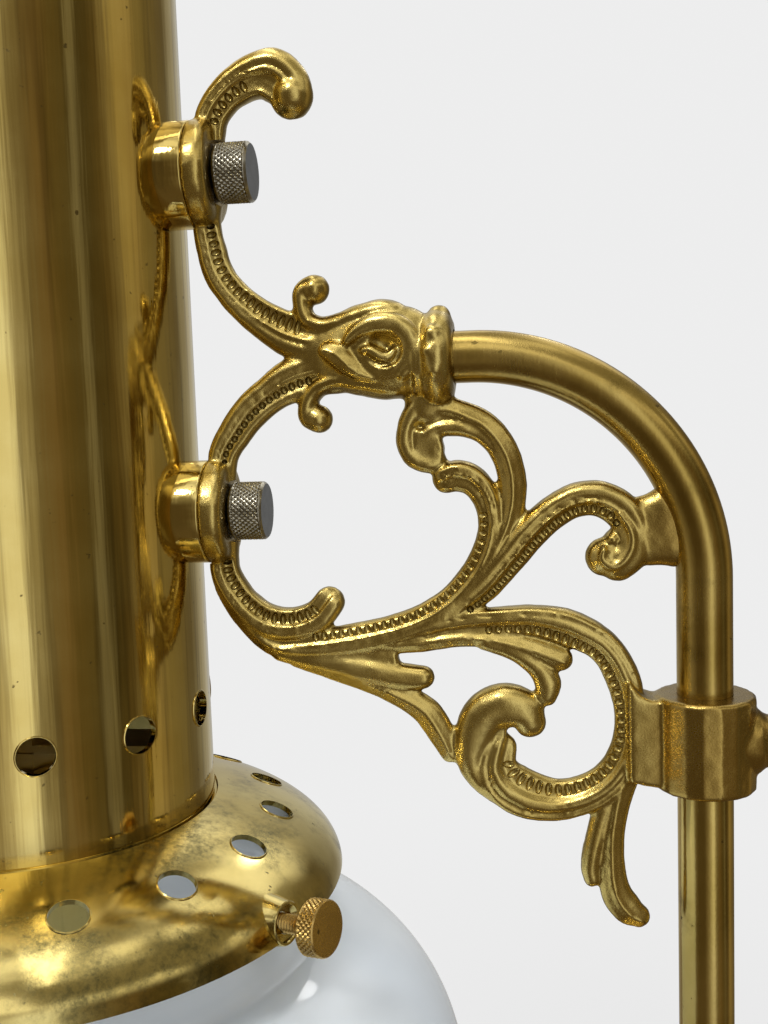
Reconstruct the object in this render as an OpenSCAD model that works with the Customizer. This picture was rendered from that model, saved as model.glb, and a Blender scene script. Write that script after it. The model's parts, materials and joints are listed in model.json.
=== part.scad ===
// Student lamp: a weighted base carries a post, and a cast scroll bracket swivels on the post.
// The bracket holds a vented brass cylinder with a domed holder and an opal glass shade below it.
// The origin is the middle of the base's underside, +Z is up and the lamp head lies towards -X.

/* [Base] */
// Diameter of the foot
base_d = 200; // [180:1:230]
// Rise of the foot's cover from its rim to the post
base_rise = 40; // [34:1:52]
// Radius of the bead round the foot's rim
rim_bead_r = 4; // [3:0.5:6]
// Wall of the foot's cover
cover_wall = 1.2; // [0.8:0.1:1.8]
// Height of the iron weight under the cover
weight_h = 24; // [18:1:28]
// Thickness of the felt under the foot
felt_t = 2; // [1:0.5:4]
// Diameter of the recess for the nut under the weight
recess_d = 32; // [30:1:38]
// Depth of the recess for the nut under the weight
recess_h = 10; // [9:0.5:13]

/* [Post] */
// Outer diameter of the post and of the bent arm
post_d = 12.4; // [11:0.2:14]
// Wall of the post and of the bent arm
post_wall = 1.6; // [1.2:0.1:2]
// Diameter of the turned ring round the foot of the post
ferrule_d = 30; // [26:1:36]
// Height of the turned ring round the foot of the post
ferrule_h = 16; // [12:1:22]
// Thickness of the washer under the weight
washer_t = 1.5; // [1:0.25:2]
// Height of the nut under the weight
post_nut_h = 6; // [5:0.5:7]
// Width across the flats of the nut under the weight
post_nut_w = 20; // [18:0.5:22]

/* [Arm] */
// Height of the cylinder's lower edge above the table
head_h = 330; // [310:1:400]
// Distance between the post and the cylinder's axis
arm_reach = 161.25; // [152:0.25:175]
// Height of the arm's axis above the cylinder's lower edge
arm_z = 104.2; // [100:0.2:108]
// Radius of the arm's bend at its axis
bend_r = 50.5; // [46:0.5:54]
// Outer diameter of the collar on the post
collar_d = 22.5; // [20:0.5:26]
// Height of the collar on the post
collar_h = 21.5; // [18:0.5:26]
// Height of the collar's lower end above the cylinder's lower edge
collar_z = 5.5; // [2:0.5:9]
// Depth of the arm's end in the collar
arm_seat = 6; // [4:0.5:8]
// Length of the spigot below the arm's end
spigot_l = 70; // [50:1:100]
// Length of the spigot inside the arm
spigot_up = 20; // [15:1:24]
// Outer diameter of the ring at the arm's socket
socket_ring_d = 21; // [19:0.5:24]
// Width of the ring at the arm's socket
socket_ring_w = 6.5; // [5:0.5:8]
// Depth of the arm's end in its socket
socket_depth = 9; // [8:0.5:12]
// Half depth of the scroll's strands, front to back
strand_depth = 3.5; // [3:0.1:4.5]

/* [Cylinder] */
// Outer diameter of the cylinder
cyl_d = 88.9; // [84:0.1:92]
// Wall of the cylinder
cyl_wall = 1.2; // [1:0.1:1.6]
// Height of the cylinder
cyl_h = 218; // [200:1:240]
// Diameter of the cylinder's vent holes
vent_d = 8.2; // [6:0.2:9]
// Number of the cylinder's vent holes
vent_count = 12; // [10:1:14]
// Height of the vent holes above the cylinder's lower edge
vent_z = 23.9; // [22:0.1:28]
// Turn of the first vent hole from the front
vent_turn = 27.2; // [20:0.1:35]
// Diameter of the bosses on the cylinder and of the ears on the bracket
boss_d = 24; // [22:0.5:26]
// Length of the bosses from the cylinder to the ears
boss_l = 4.6; // [4:0.2:7]
// Thickness of the bracket's ears
ear_t = 5; // [4:0.5:6.5]
// Height of the upper boss above the cylinder's lower edge
upper_boss_z = 147.5; // [142:0.5:152]
// Height of the lower boss above the cylinder's lower edge
lower_boss_z = 70.5; // [66:0.5:74]

/* [Thumbscrews] */
// Diameter of the knurled knobs on the bracket and on the collar
knob_d = 13.6; // [12:0.2:15]
// Length of the knurled knobs on the bracket and on the collar
knob_l = 8; // [7:0.5:11]
// Diameter of the screws under those knobs
screw_d = 6; // [5:0.5:6.5]
// Diameter of the nuts inside the cylinder
inner_nut_d = 18; // [16:0.5:22]
// Thickness of the nuts inside the cylinder
inner_nut_t = 6; // [5:0.5:8]
// Diameter of the boss for the clamp screw on the collar
clamp_boss_d = 11.6; // [10.4:0.2:14]
// Reach of the clamp screw's boss from the post's axis
clamp_boss_reach = 19; // [16:0.5:24]

/* [Shade holder] */
// Largest outer diameter of the domed holder
holder_d = 151.2; // [149:0.2:156]
// Drop of the holder's largest diameter below the cylinder's lower edge
holder_drop = 20; // [19.4:0.2:22]
// Drop of the holder's lower edge below the cylinder's lower edge
holder_edge_drop = 19.2; // [18.6:0.2:19.4]
// Wall of the holder
holder_wall = 1.2; // [0.9:0.1:1.4]
// Height of the holder's neck inside the cylinder
neck_h = 14; // [10:0.5:16]
// Diameter of the holder's vent holes
holder_vent_d = 8.3; // [6:0.1:9]
// Number of the holder's vent holes
holder_vent_count = 16; // [12:1:18]
// Radius of the ring of vent holes in the holder
holder_vent_r = 59.9; // [56:0.1:64]
// Turn of the holder's first vent hole from the front
holder_vent_turn = 30.8; // [25:0.1:40]
// Turn of the first shade screw from the front
shade_screw_turn = 67.5; // [55:0.5:75]
// Drop of the shade screws below the cylinder's lower edge
shade_screw_drop = 16; // [15.6:0.1:16.4]
// Rise of the shade screws' axes
shade_screw_tilt = 5; // [3:1:7]
// Diameter of the shade screws
shade_screw_d = 4.2; // [3.6:0.1:4.6]
// Diameter of the shade screws' heads
shade_knob_d = 12; // [10:0.5:13]
// Thickness of the shade screws' heads
shade_knob_t = 4.4; // [4:0.2:7]
// Bare length of the shade screws between the holder and their heads
shade_screw_gap = 6.8; // [5:0.2:8]
// Outer diameter of the flared lips round the shade screws
lip_d = 9.4; // [8.4:0.2:9.6]

/* [Shade] */
// Outer diameter of the glass's neck
glass_neck_d = 132.4; // [130:0.2:133]
// Outer diameter of the lip at the top of the neck
glass_lip_d = 136; // [134.6:0.2:136.6]
// Height of the lip at the top of the neck
glass_lip_h = 1; // [0.8:0.1:1.2]
// Largest outer diameter of the glass
glass_d = 209.6; // [200:0.2:220]
// Drop of the largest diameter below the cylinder's lower edge
glass_belly_drop = 75; // [70:1:85]
// Drop of the glass's open end below the cylinder's lower edge
glass_drop = 120; // [112:1:135]
// Outer diameter of the glass's open end
glass_mouth_d = 196; // [184:1:204]
// Wall of the glass
glass_wall = 3.4; // [2.6:0.2:4.2]

/* [Cap] */
// Rise of the cap over the cylinder's upper edge
cap_rise = 26; // [20:1:34]
// Depth of the cap's skirt inside the cylinder
cap_skirt = 10; // [6:1:14]
// Wall of the cap
cap_wall = 1.2; // [0.8:0.1:1.6]
// Diameter of the cap's vent holes
cap_vent_d = 7; // [5:0.5:8]
// Number of the cap's vent holes
cap_vent_count = 12; // [8:1:14]
// Diameter of the ball on the finial
finial_d = 16; // [12:1:20]

/* [Lampholder] */
// Width of the bar that carries the lampholder
bar_w = 14; // [13:0.5:18]
// Thickness of the bar that carries the lampholder
bar_t = 2; // [1.5:0.5:3]
// Outer diameter of the nipple through the bar
nipple_d = 10; // [9:0.5:11]
// Bore of the nipple
nipple_bore = 7; // [6:0.5:7.5]
// Height of the nuts on the nipple
nipple_nut_h = 4; // [3:0.5:5]
// Height of the lampholder's cap
holder_cap_h = 13; // [12:0.5:15]
// Outer diameter of the lampholder's shell
shell_d = 34; // [32:0.5:38]
// Length of the lampholder's shell
shell_h = 30; // [28:0.5:33]
// Wall of the lampholder's shell
shell_wall = 0.8; // [0.6:0.1:1.2]
// Diameter of the bulb's screw cap
bulb_cap_d = 26; // [25.4:0.1:26.6]
// Largest diameter of the bulb
bulb_d = 60; // [52:1:66]
// Length of the bulb below the lampholder
bulb_l = 76; // [70:1:80]
// Diameter of the switch's spindle
spindle_d = 3; // [2.5:0.25:3.5]
// Width of the switch's key
key_w = 14; // [11:0.5:16]
// Thickness of the switch's key
key_t = 2.4; // [2:0.2:3]

/* [Cord inlet] */
// Bore of the bush where a cord goes in
inlet_bore = 7; // [6:0.5:7.5]
// Thread diameter of the bush
inlet_d = 10; // [9.5:0.5:11]
// Diameter of the bush's flange
inlet_flange_d = 15; // [14:0.5:18]
// Height of the bush above the cylinder's lower edge
inlet_z = 46; // [42:1:60]

/* [Clearances] */
// Radial running clearance of turning fits
run_gap = 0.05; // [0.03:0.01:0.08]
// Radial gap of fixed fits
fit_gap = 0.02; // [0.01:0.01:0.05]
// Gap between faces that turn on each other
face_gap = 0.3; // [0.2:0.05:0.4]

/* [Hidden] */
$fn = 72;
sides = 8;
base_r = base_d/2;
post_r = post_d/2;
bore_r = post_r - post_wall;
cyl_r = cyl_d/2;
cyl_in = cyl_r - cyl_wall;
boss_r = boss_d/2;
ear_x = cyl_r + boss_l;
knob_x = ear_x + ear_t + face_gap;
hub_z = felt_t + base_rise;
hub_r = post_r + 6;
foot_r = base_r - rim_bead_r;
bead_z = felt_t + 2*rim_bead_r;
felt_inset = 1;
weight_gap = 0.6;
collar_r = collar_d/2;
collar_top = collar_z + collar_h;
arm_foot = collar_top - arm_seat;
post_top = head_h + arm_foot - face_gap;
post_foot = felt_t + 1;
nut_seat = felt_t + recess_h;
ring_x = 99.5;
spigot_r = bore_r - run_gap;
dome_x = holder_d/2;
dome_ledge = 0.8;
dome_start = cyl_r + dome_ledge;
dome_rise = holder_drop/sqrt(1 - pow(dome_start/dome_x, 2));
shade_screw_r = dome_x*sqrt(1 - pow((holder_drop - shade_screw_drop)/dome_rise, 2));
glass_room = 0.85;
glass_top = -holder_drop - glass_room
    + (dome_rise - holder_wall)*sqrt(1 - pow(glass_lip_d/2/(dome_x - holder_wall), 2));
bar_z = neck_h;
lamp_top = bar_z - nipple_nut_h;
shell_top = lamp_top - holder_cap_h;
shell_foot = shell_top - shell_h;
core_r = shell_d/2 - shell_wall - fit_gap;
core_head = 7;
core_rise = 2;
bulb_cap_r = bulb_cap_d/2;
key_z = shell_top - 3;
key_y = -shell_d/2 - 4;
brass = "#c9a23a";
cast_brass = "#b8923a";
dull_steel = "#6f6f6c";

// Helpers for curves and places

// Points of an arc round c, from one angle to another
function arc(c, r, from, to, n) =
    [for (k = [0:n]) let (a = from + (to - from)*k/n) c + r*[cos(a), sin(a)]];

// Points of an ellipse round c with half axes a and b, from one angle to another
function oval(c, a, b, from, to, n) =
    [for (k = [0:n]) let (t = from + (to - from)*k/n) c + [a*cos(t), b*sin(t)]];

function reversed(p) = [for (i = [len(p) - 1:-1:0]) p[i]];

// The lamp head's own place: the cylinder's axis at its lower edge
module at_head() {
    translate([-arm_reach, 0, head_h])
        children();
}

// Turn children about the vertical, so that their +X points a degrees from the front towards the post
module turned(a) {
    rotate([0, 0, a - 90])
        children();
}

// Lay children's +Z along +X at a height
module along_x(x, z) {
    translate([x, 0, z])
        rotate([0, 90, 0])
            children();
}

module hex_nut(width, h, bore) {
    difference() {
        cylinder(d = width/cos(30), h = h, $fn = 6);
        translate([0, 0, -1])
            cylinder(d = bore, h = h + 2);
    }
}

module tube(r, wall, h) {
    difference() {
        cylinder(r = r, h = h);
        translate([0, 0, -1])
            cylinder(r = r - wall, h = h + 2);
    }
}

// Foot and post

// Height of the cover's outside at a radius: a bell that rises to the hub
function cover_z(r) = let (u = (foot_r - r)/(foot_r - hub_r)) bead_z + (hub_z - bead_z)*u*u*(3 - 2*u);

module base_felt() {
    color("#2f4a35")
        cylinder(r = base_r - felt_inset, h = felt_t);
}

module base_weight() {
    top = felt_t + weight_h;
    steps = 16;
    edge = foot_r - cover_wall - weight_gap;
    rise = [for (k = [0:steps]) let (r = edge + (hub_r - edge)*k/steps)
        [r, min(top, cover_z(r) - 2*cover_wall - weight_gap)]];
    color("#3d3f41")
        difference() {
            rotate_extrude()
                polygon(concat([[0, felt_t], [edge, felt_t]], rise, [[0, top]]));
            cylinder(r = post_r + fit_gap, h = top + 1);
            cylinder(d = recess_d, h = nut_seat);
        }
}

module base_cover() {
    steps = 24;
    bell = [for (k = [0:steps]) let (r = foot_r + (hub_r - foot_r)*k/steps) [r, cover_z(r)]];
    under = [for (p = reversed(bell)) p - [0, cover_wall]];
    bead = arc([foot_r, felt_t + rim_bead_r], rim_bead_r, -90, 90, 10);
    color(brass)
        difference() {
            rotate_extrude()
                polygon(concat(
                    [[foot_r - cover_wall, felt_t]], bead, [for (k = [1:steps]) bell[k]],
                    [[0, hub_z], [0, hub_z - cover_wall]], [for (k = [0:steps - 1]) under[k]],
                    [[foot_r - cover_wall, bead_z - cover_wall]]));
            cylinder(r = post_r + fit_gap, h = hub_z + 1);
        }
}

module post() {
    color(brass)
        translate([0, 0, post_foot])
            tube(post_r, post_wall, post_top - post_foot);
}

module post_ferrule() {
    r = ferrule_d/2;
    neck = post_r + 2.4;
    color(brass)
        translate([0, 0, hub_z])
            difference() {
                rotate_extrude()
                    polygon(concat(
                        [[0, 0], [r, 0]],
                        arc([r - 2, 2], 2, 0, 90, 6),
                        oval([r - 2, ferrule_h - 2], r - 2 - neck, ferrule_h - 6, -90, -180, 8),
                        arc([neck - 1, ferrule_h - 1], 1, 0, 90, 4),
                        [[0, ferrule_h]]));
                translate([0, 0, -1])
                    cylinder(r = post_r + fit_gap, h = ferrule_h + 2);
            }
}

module post_washer() {
    color(dull_steel)
        translate([0, 0, nut_seat - washer_t])
            difference() {
                cylinder(d = recess_d - 2, h = washer_t);
                translate([0, 0, -1])
                    cylinder(r = post_r + fit_gap, h = washer_t + 2);
            }
}

module post_nut() {
    color(dull_steel)
        translate([0, 0, nut_seat - washer_t - post_nut_h])
            hex_nut(post_nut_w, post_nut_h, post_d + 2*fit_gap);
}

// Bent arm and its swivel

// A round bar along the arm: up from the collar, round the bend and into the socket
module arm_bar(r) {
    leg = arm_z - bend_r - arm_foot;
    reach = arm_reach - bend_r - arm_end_x();
    translate([arm_reach, 0, arm_foot])
        cylinder(r = r, h = leg);
    translate([arm_reach - bend_r, 0, arm_z - bend_r])
        rotate([90, 0, 0])
            rotate_extrude(angle = 90)
                translate([bend_r, 0])
                    circle(r = r);
    along_x(arm_end_x(), arm_z)
        cylinder(r = r, h = reach);
}

function arm_end_x() = drawn_x(ring_x) + socket_ring_w - socket_depth;

module arm_tube() {
    color(cast_brass)
        at_head()
            difference() {
                arm_bar(post_r);
                arm_bar(bore_r);
            }
}

module swivel_spigot() {
    color(dull_steel)
        translate([0, 0, head_h + arm_foot - spigot_l])
            cylinder(r = spigot_r, h = spigot_l + spigot_up);
}

// Scroll bracket

// The scroll is drawn in the plane of the arm, from the cylinder's axis and its lower edge.
// A point is [x, z, half width], and the drawing stretches with the places that the casting joins.
drawn_ear_x = 51.5;
drawn_post_x = 161.25;
drawn_collar_z = 16.25;
drawn_lower_z = 70.5;
drawn_arm_z = 104.2;
drawn_upper_z = 147.5;
beyond = 200;

function drawn_x(x) =
    let (ear = ear_x + ear_t/2)
    ear + (x - drawn_ear_x)*(arm_reach - ear)/(drawn_post_x - drawn_ear_x);

function drawn_z(z) = lookup(z, [
    [drawn_collar_z - beyond, collar_z + collar_h/2 - beyond],
    [drawn_collar_z, collar_z + collar_h/2],
    [drawn_lower_z, lower_boss_z],
    [drawn_arm_z, arm_z],
    [drawn_upper_z, upper_boss_z],
    [drawn_upper_z + beyond, upper_boss_z + beyond]
]);

// A leaf over the upper ear, with a round curled end
top_leaf = [[52.5, 153, 3.4], [53.3, 159.5, 3.7], [55.8, 163.4, 3.9], [59.3, 166.3, 4.3],
    [63.7, 168.2, 4.9], [68, 168.3, 5.8], [71.2, 165.5, 5.4], [72, 163.1, 4.8]];

// The upper half of the big C, from the upper ear to the socket
upper_c = [[52, 143, 3.2], [51.2, 136, 3.2], [52, 130.6, 3.4], [53.3, 125.5, 3.5], [56.2, 120.9, 3.6],
    [60.2, 116.8, 4], [64.6, 113.5, 4.5], [69.8, 110.6, 5.2], [76, 109, 5.5], [82, 108, 5.5]];

// The lower half of the big C, from the lower ear to the socket
lower_c = [[52.2, 74.5, 2.9], [52.4, 83.1, 3.5], [55.4, 88.4, 3.9], [59.4, 93.4, 4.2], [64.6, 97.5, 4.4],
    [70.3, 100.5, 5.2], [77, 101.8, 5.1], [84, 102, 5]];

// The swelling head that takes the arm's end
socket_head = [[76, 106.4, 6.4], [81, 106.3, 8.9], [87, 106.1, 10.2], [93, 106, 11.1], [100.5, 105.4, 10.3]];

// Two small curls at the head
upper_curl = [[80, 111.6, 2.4], [75, 113.9, 2.2], [72.6, 117, 2.1], [72.7, 120.2, 2.4], [75.6, 121.4, 3]];
lower_curl = [[79, 99.6, 2.6], [74.6, 98.3, 2.2], [72.4, 95, 2.2], [72.7, 91.5, 2.5], [75.5, 90.9, 3.1]];

// A short leaf under the lower ear
inner_leaf = [[52.3, 66, 3.2], [51.5, 57.5, 3.4], [53.5, 52.2, 3.5], [56.8, 47.9, 3.6], [61.5, 44.4, 3.9],
    [67.5, 43.6, 3.9], [73.1, 45.4, 3.8], [76.2, 48.8, 3.6]];

// The spine under that leaf, which runs on to the middle of the scroll
spine = [[51, 62, 2.6], [50.9, 54.5, 2.4], [53.2, 48.7, 2.3], [56.9, 43.5, 2.4], [61.6, 39.2, 2.6],
    [68, 37.5, 2.9], [77, 37.6, 2.9], [86, 39, 2.9], [95, 41.4, 2.8], [103, 45, 2.6]];

// The beaded strand that sweeps up to a hooked leaf
beaded_sweep = [[66, 38.8, 2.4], [74, 39.6, 2.8], [82.2, 40.8, 2.9], [90.3, 42.5, 2.9], [97.7, 45, 2.9],
    [104.1, 48.9, 2.9], [109.2, 54.3, 2.9], [112.7, 60.5, 2.9], [114, 66.9, 2.8], [113, 72.5, 3.2],
    [110.1, 76.1, 3.5], [105.4, 77.6, 4], [102.2, 76.4, 3.2]];

// The strand outside it, which joins the socket's ring from below
outer_sweep = [[100, 45, 2.6], [106, 49.3, 2.8], [111.6, 55.3, 2.9], [115.9, 61.9, 3], [118.6, 69, 3.1],
    [119.2, 76, 3.2], [117.5, 82.8, 3.3], [113.4, 88.4, 3.3], [107.2, 91.6, 3.2], [100.9, 93.3, 3.2]];

// The small volute under the ring
ring_volute = [[112, 87.2, 2.4], [106, 88.6, 2.9], [100, 89.2, 2.9], [96.2, 86.9, 2.8], [96, 83.2, 2.7],
    [98.4, 81.4, 2.8], [101.8, 81.6, 2.8]];

// The branch that curls over and leans on the arm
arm_branch = [[101, 43.5, 2.4], [107, 47.4, 2.8], [112.8, 52.2, 3.4], [118.1, 58.2, 3.6],
    [123.1, 64.1, 3.8], [128.2, 68.7, 3.8], [133.5, 71.4, 3.9], [139, 71.4, 4.1], [143.8, 68, 4.3],
    [146, 62.5, 4.3], [144.6, 57.2, 4.4], [140.4, 55.2, 3.9], [138, 57.6, 4]];

// The lower loop, which passes the collar and ends in a big volute
lower_loop = [[90, 39.5, 2.4], [98, 41.6, 2.7], [107, 43.4, 3], [116, 44.1, 3.1], [124, 44, 3.5],
    [131.7, 42, 4.2], [139, 37.7, 3.8], [143.1, 30.5, 3.9], [144.5, 23, 3.5], [144.3, 16.5, 3.6],
    [142.4, 10.8, 3.9], [138.7, 6.2, 4.1], [133.5, 3.2, 4.4], [127.5, 2, 4.8], [121, 3.2, 5.6],
    [115.4, 6.6, 6], [111.2, 11.3, 5], [110.4, 17, 4.8], [113.3, 21.8, 4.7], [118.5, 23.1, 4.7],
    [122.2, 20.2, 4.2]];

// Two lobes that hang into the lower loop
first_lobe = [[88, 38.4, 2.2], [98, 39.3, 2.5], [106, 40.3, 2.4], [113.5, 39.8, 2.2], [120, 38.2, 2.5],
    [126, 36.2, 2.9], [129.4, 35, 2.7]];
second_lobe = [[112, 39.2, 2], [118.7, 36.9, 2.2], [123.6, 33.4, 2.5], [126.4, 29.8, 3.1],
    [127.2, 26.6, 2.7]];

// Two leaves that run under the spine to the lower loop
blunt_leaf = [[64, 37, 2.2], [72, 35.2, 2.7], [80, 33.6, 3.4], [87, 32, 3.4], [93, 31, 3.1],
    [97.6, 30.8, 2.7]];
pointed_leaf = [[68, 35, 1.9], [77, 32, 2], [85.5, 29.2, 2.3], [92.3, 26.4, 2.8], [98, 22.8, 3.3],
    [101.4, 17.6, 3.2], [103.5, 13, 2.5]];

// Two tails under the collar
long_tail = [[144, 9, 3], [141.6, 2.4, 3.2], [140.4, -4, 3], [140, -10, 3], [140.2, -16, 3.2],
    [141.3, -21.3, 3.7], [144, -25.4, 3.7], [146.4, -27.2, 2.7]];
short_tail = [[139.8, 4, 2.5], [137.6, -2.6, 2.3], [136.1, -8.5, 2.3], [135.2, -13.5, 2.2],
    [135.5, -16.8, 1.9]];

// Each strand with its half depth as a share of the scroll's
strands = [[top_leaf, 1.15], [upper_c, 1], [lower_c, 0.97], [upper_curl, 0.9], [lower_curl, 0.88],
    [inner_leaf, 1.02], [spine, 0.94], [beaded_sweep, 1.05], [outer_sweep, 0.98], [ring_volute, 0.86],
    [arm_branch, 1.08], [lower_loop, 1.12], [first_lobe, 0.82], [second_lobe, 0.8], [blunt_leaf, 0.92],
    [pointed_leaf, 0.87], [long_tail, 0.91], [short_tail, 0.77]];
head_depth = 9.2;

// A smooth curve through the drawn points, with n steps for each span
function curve_at(p, i, t) =
    let (a = p[max(i - 1, 0)], b = p[i], c = p[i + 1], d = p[min(i + 2, len(p) - 1)])
    (2*b + (c - a)*t + (2*a - 5*b + 4*c - d)*t*t + (3*b - a - 3*c + d)*t*t*t)/2;

function smooth(p, n) = concat(
    [for (i = [0:len(p) - 2]) for (k = [0:n - 1]) curve_at(p, i, k/n)],
    [p[len(p) - 1]]);

function heading(p, i) =
    let (d = p[min(i + 1, len(p) - 1)] - p[max(i - 1, 0)])
    [d.x, d.y]/norm([d.x, d.y]);

// One ring of a strand: an oval across the heading
function ring(c, dir, w, depth) =
    [for (k = [0:sides - 1]) let (a = 360*k/sides)
        [c.x - dir.y*w*cos(a), depth*sin(a), c.y + dir.x*w*cos(a)]];

// A tapered strand with rounded ends, swept through the drawn points
module strand(points, depth) {
    round_reach = 0.6;
    round_share = 0.55;
    thin_share = 0.45;
    p = smooth([for (q = points) [drawn_x(q.x), drawn_z(q.y), q.z]], 2);
    last = len(p) - 1;
    first_dir = heading(p, 0);
    last_dir = heading(p, last);
    widest = max([for (q = p) q.z]);
    deep = [for (q = p) depth*(thin_share + (1 - thin_share)*q.z/widest)];
    start = [p[0].x, p[0].y] - first_dir*p[0].z*round_reach;
    finish = [p[last].x, p[last].y] + last_dir*p[last].z*round_reach;
    rings = concat(
        [ring(start, first_dir, p[0].z*round_share, deep[0]*round_share)],
        [for (i = [0:last]) ring(p[i], heading(p, i), p[i].z, deep[i])],
        [ring(finish, last_dir, p[last].z*round_share, deep[last]*round_share)]);
    count = len(rings);
    polyhedron(
        points = [for (r = rings) each r],
        faces = concat(
            [[for (k = [sides - 1:-1:0]) k]],
            [for (i = [0:count - 2]) for (k = [0:sides - 1])
                let (a = i*sides + k, b = i*sides + (k + 1) % sides)
                each [[a, b, b + sides], [a, b + sides, a + sides]]],
            [[for (k = [0:sides - 1]) (count - 1)*sides + k]]));
}

// A flat web in the scroll's plane
module web(outline, depth) {
    rotate([90, 0, 0])
        translate([0, 0, -depth])
            linear_extrude(2*depth)
                polygon([for (q = outline) [drawn_x(q.x), drawn_z(q.y)]]);
}

// An ear of the bracket, flat on the boss and rounded at its outer edge
module ear(z) {
    edge = ear_t*0.45;
    along_x(ear_x, z)
        rotate_extrude()
            polygon(concat(
                [[0, 0], [boss_r, 0]],
                arc([boss_r - edge, ear_t - edge], edge, 0, 90, 6),
                [[0, ear_t]]));
}

module socket_ring() {
    r = socket_ring_d/2;
    round = socket_ring_w*0.45;
    along_x(drawn_x(ring_x), arm_z)
        rotate_extrude()
            polygon(concat([[0, 0]], arc([r - round, round], round, -90, 0, 5),
                arc([r - round, socket_ring_w - round], round, 0, 90, 5), [[0, socket_ring_w]]));
}

// The cast bracket: strands, webs, ears, the ring and the collar, with all its bores
module scroll_bracket() {
    neck_web = [[95.8, 96], [95.8, 88.5], [105, 90.5], [105, 96]];
    arm_pad = [[144, 55.4], [152, 55.4], [160, 55.4], [160, 73.2], [144, 72]];
    collar_web = [[144, 7.5], [150, 6.5], [158, 6], [158, 26], [149, 26], [144, 28]];
    color(cast_brass)
        at_head()
            difference() {
                union() {
                    for (s = strands)
                        strand(s[0], strand_depth*s[1]);
                    strand(socket_head, head_depth);
                    web(neck_web, strand_depth*0.9);
                    web(arm_pad, strand_depth*0.95);
                    web(collar_web, strand_depth*1.2);
                    ear(upper_boss_z);
                    ear(lower_boss_z);
                    socket_ring();
                    translate([arm_reach, 0, collar_z])
                        cylinder(r = collar_r, h = collar_h);
                    along_x(arm_reach, collar_z + collar_h/2)
                        cylinder(d = clamp_boss_d, h = clamp_boss_reach);
                }
                arm_bar(post_r + fit_gap);
                translate([arm_reach, 0, collar_z - beyond])
                    cylinder(r = post_r + run_gap, h = beyond + collar_h - arm_seat);
                for (z = [upper_boss_z, lower_boss_z]) {
                    along_x(0, z)
                        cylinder(r = boss_r + face_gap, h = ear_x);
                    along_x(0, z)
                        cylinder(d = screw_d + 2*run_gap, h = knob_x);
                    along_x(ear_x + ear_t, z)
                        cylinder(d = knob_d + 4*face_gap, h = knob_l);
                }
                along_x(arm_reach, collar_z + collar_h/2)
                    cylinder(d = screw_d + 2*run_gap, h = clamp_boss_reach + 1);
            }
}

// A knurled thumbscrew along +X: its knob starts at x and its shank goes back to the tip
module thumbscrew(x, tip, z) {
    edge = 1;
    color(dull_steel) {
        along_x(x, z)
            rotate_extrude()
                polygon([[0, 0], [knob_d/2 - edge/2, 0], [knob_d/2, edge/2], [knob_d/2, knob_l - edge],
                    [knob_d/2 - edge, knob_l], [0, knob_l]]);
        along_x(tip, z)
            cylinder(d = screw_d, h = x - tip + 1);
    }
}

module clamp_screw() {
    at_head()
        thumbscrew(arm_reach + clamp_boss_reach + face_gap, arm_reach + post_r + face_gap,
            collar_z + collar_h/2);
}

// Bosses on the cylinder, with their screws and inner nuts

module boss(z) {
    color(brass)
        at_head()
            difference() {
                along_x(cyl_r - 3, z)
                    cylinder(r = boss_r, h = boss_l + 3);
                cylinder(r = cyl_r + fit_gap, h = cyl_h);
                along_x(0, z)
                    cylinder(d = screw_d + 2*run_gap, h = ear_x + 1);
            }
}

module inner_nut(z) {
    color(dull_steel)
        at_head()
            difference() {
                intersection() {
                    along_x(cyl_in - inner_nut_t, z)
                        cylinder(d = inner_nut_d, h = inner_nut_t + 1);
                    cylinder(r = cyl_in - fit_gap, h = cyl_h);
                }
                along_x(0, z)
                    cylinder(d = screw_d + 2*run_gap, h = cyl_r);
            }
}

module upper_boss() { boss(upper_boss_z); }
module lower_boss() { boss(lower_boss_z); }
module upper_inner_nut() { inner_nut(upper_boss_z); }
module lower_inner_nut() { inner_nut(lower_boss_z); }

module bracket_screw(z) {
    at_head()
        thumbscrew(knob_x, cyl_in - inner_nut_t - 1, z);
}

module upper_bracket_screw() { bracket_screw(upper_boss_z); }
module lower_bracket_screw() { bracket_screw(lower_boss_z); }

// Cylinder and its cap

module lamp_cylinder() {
    color(brass)
        at_head()
            difference() {
                tube(cyl_r, cyl_wall, cyl_h);
                for (k = [0:vent_count - 1])
                    turned(vent_turn + 360*k/vent_count)
                        along_x(cyl_in - 2, vent_z)
                            cylinder(d = vent_d, h = cyl_wall + 4);
                for (z = [upper_boss_z, lower_boss_z])
                    along_x(cyl_in - 3, z)
                        cylinder(d = screw_d + 2*run_gap, h = cyl_wall + 6);
                along_x(-cyl_r - 2, inlet_z)
                    cylinder(d = inlet_d + 2*fit_gap, h = cyl_wall + 4);
            }
}

cap_bead_r = 1.6;
cap_bolt_d = 5;
cap_bolt_l = 7;

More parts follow.
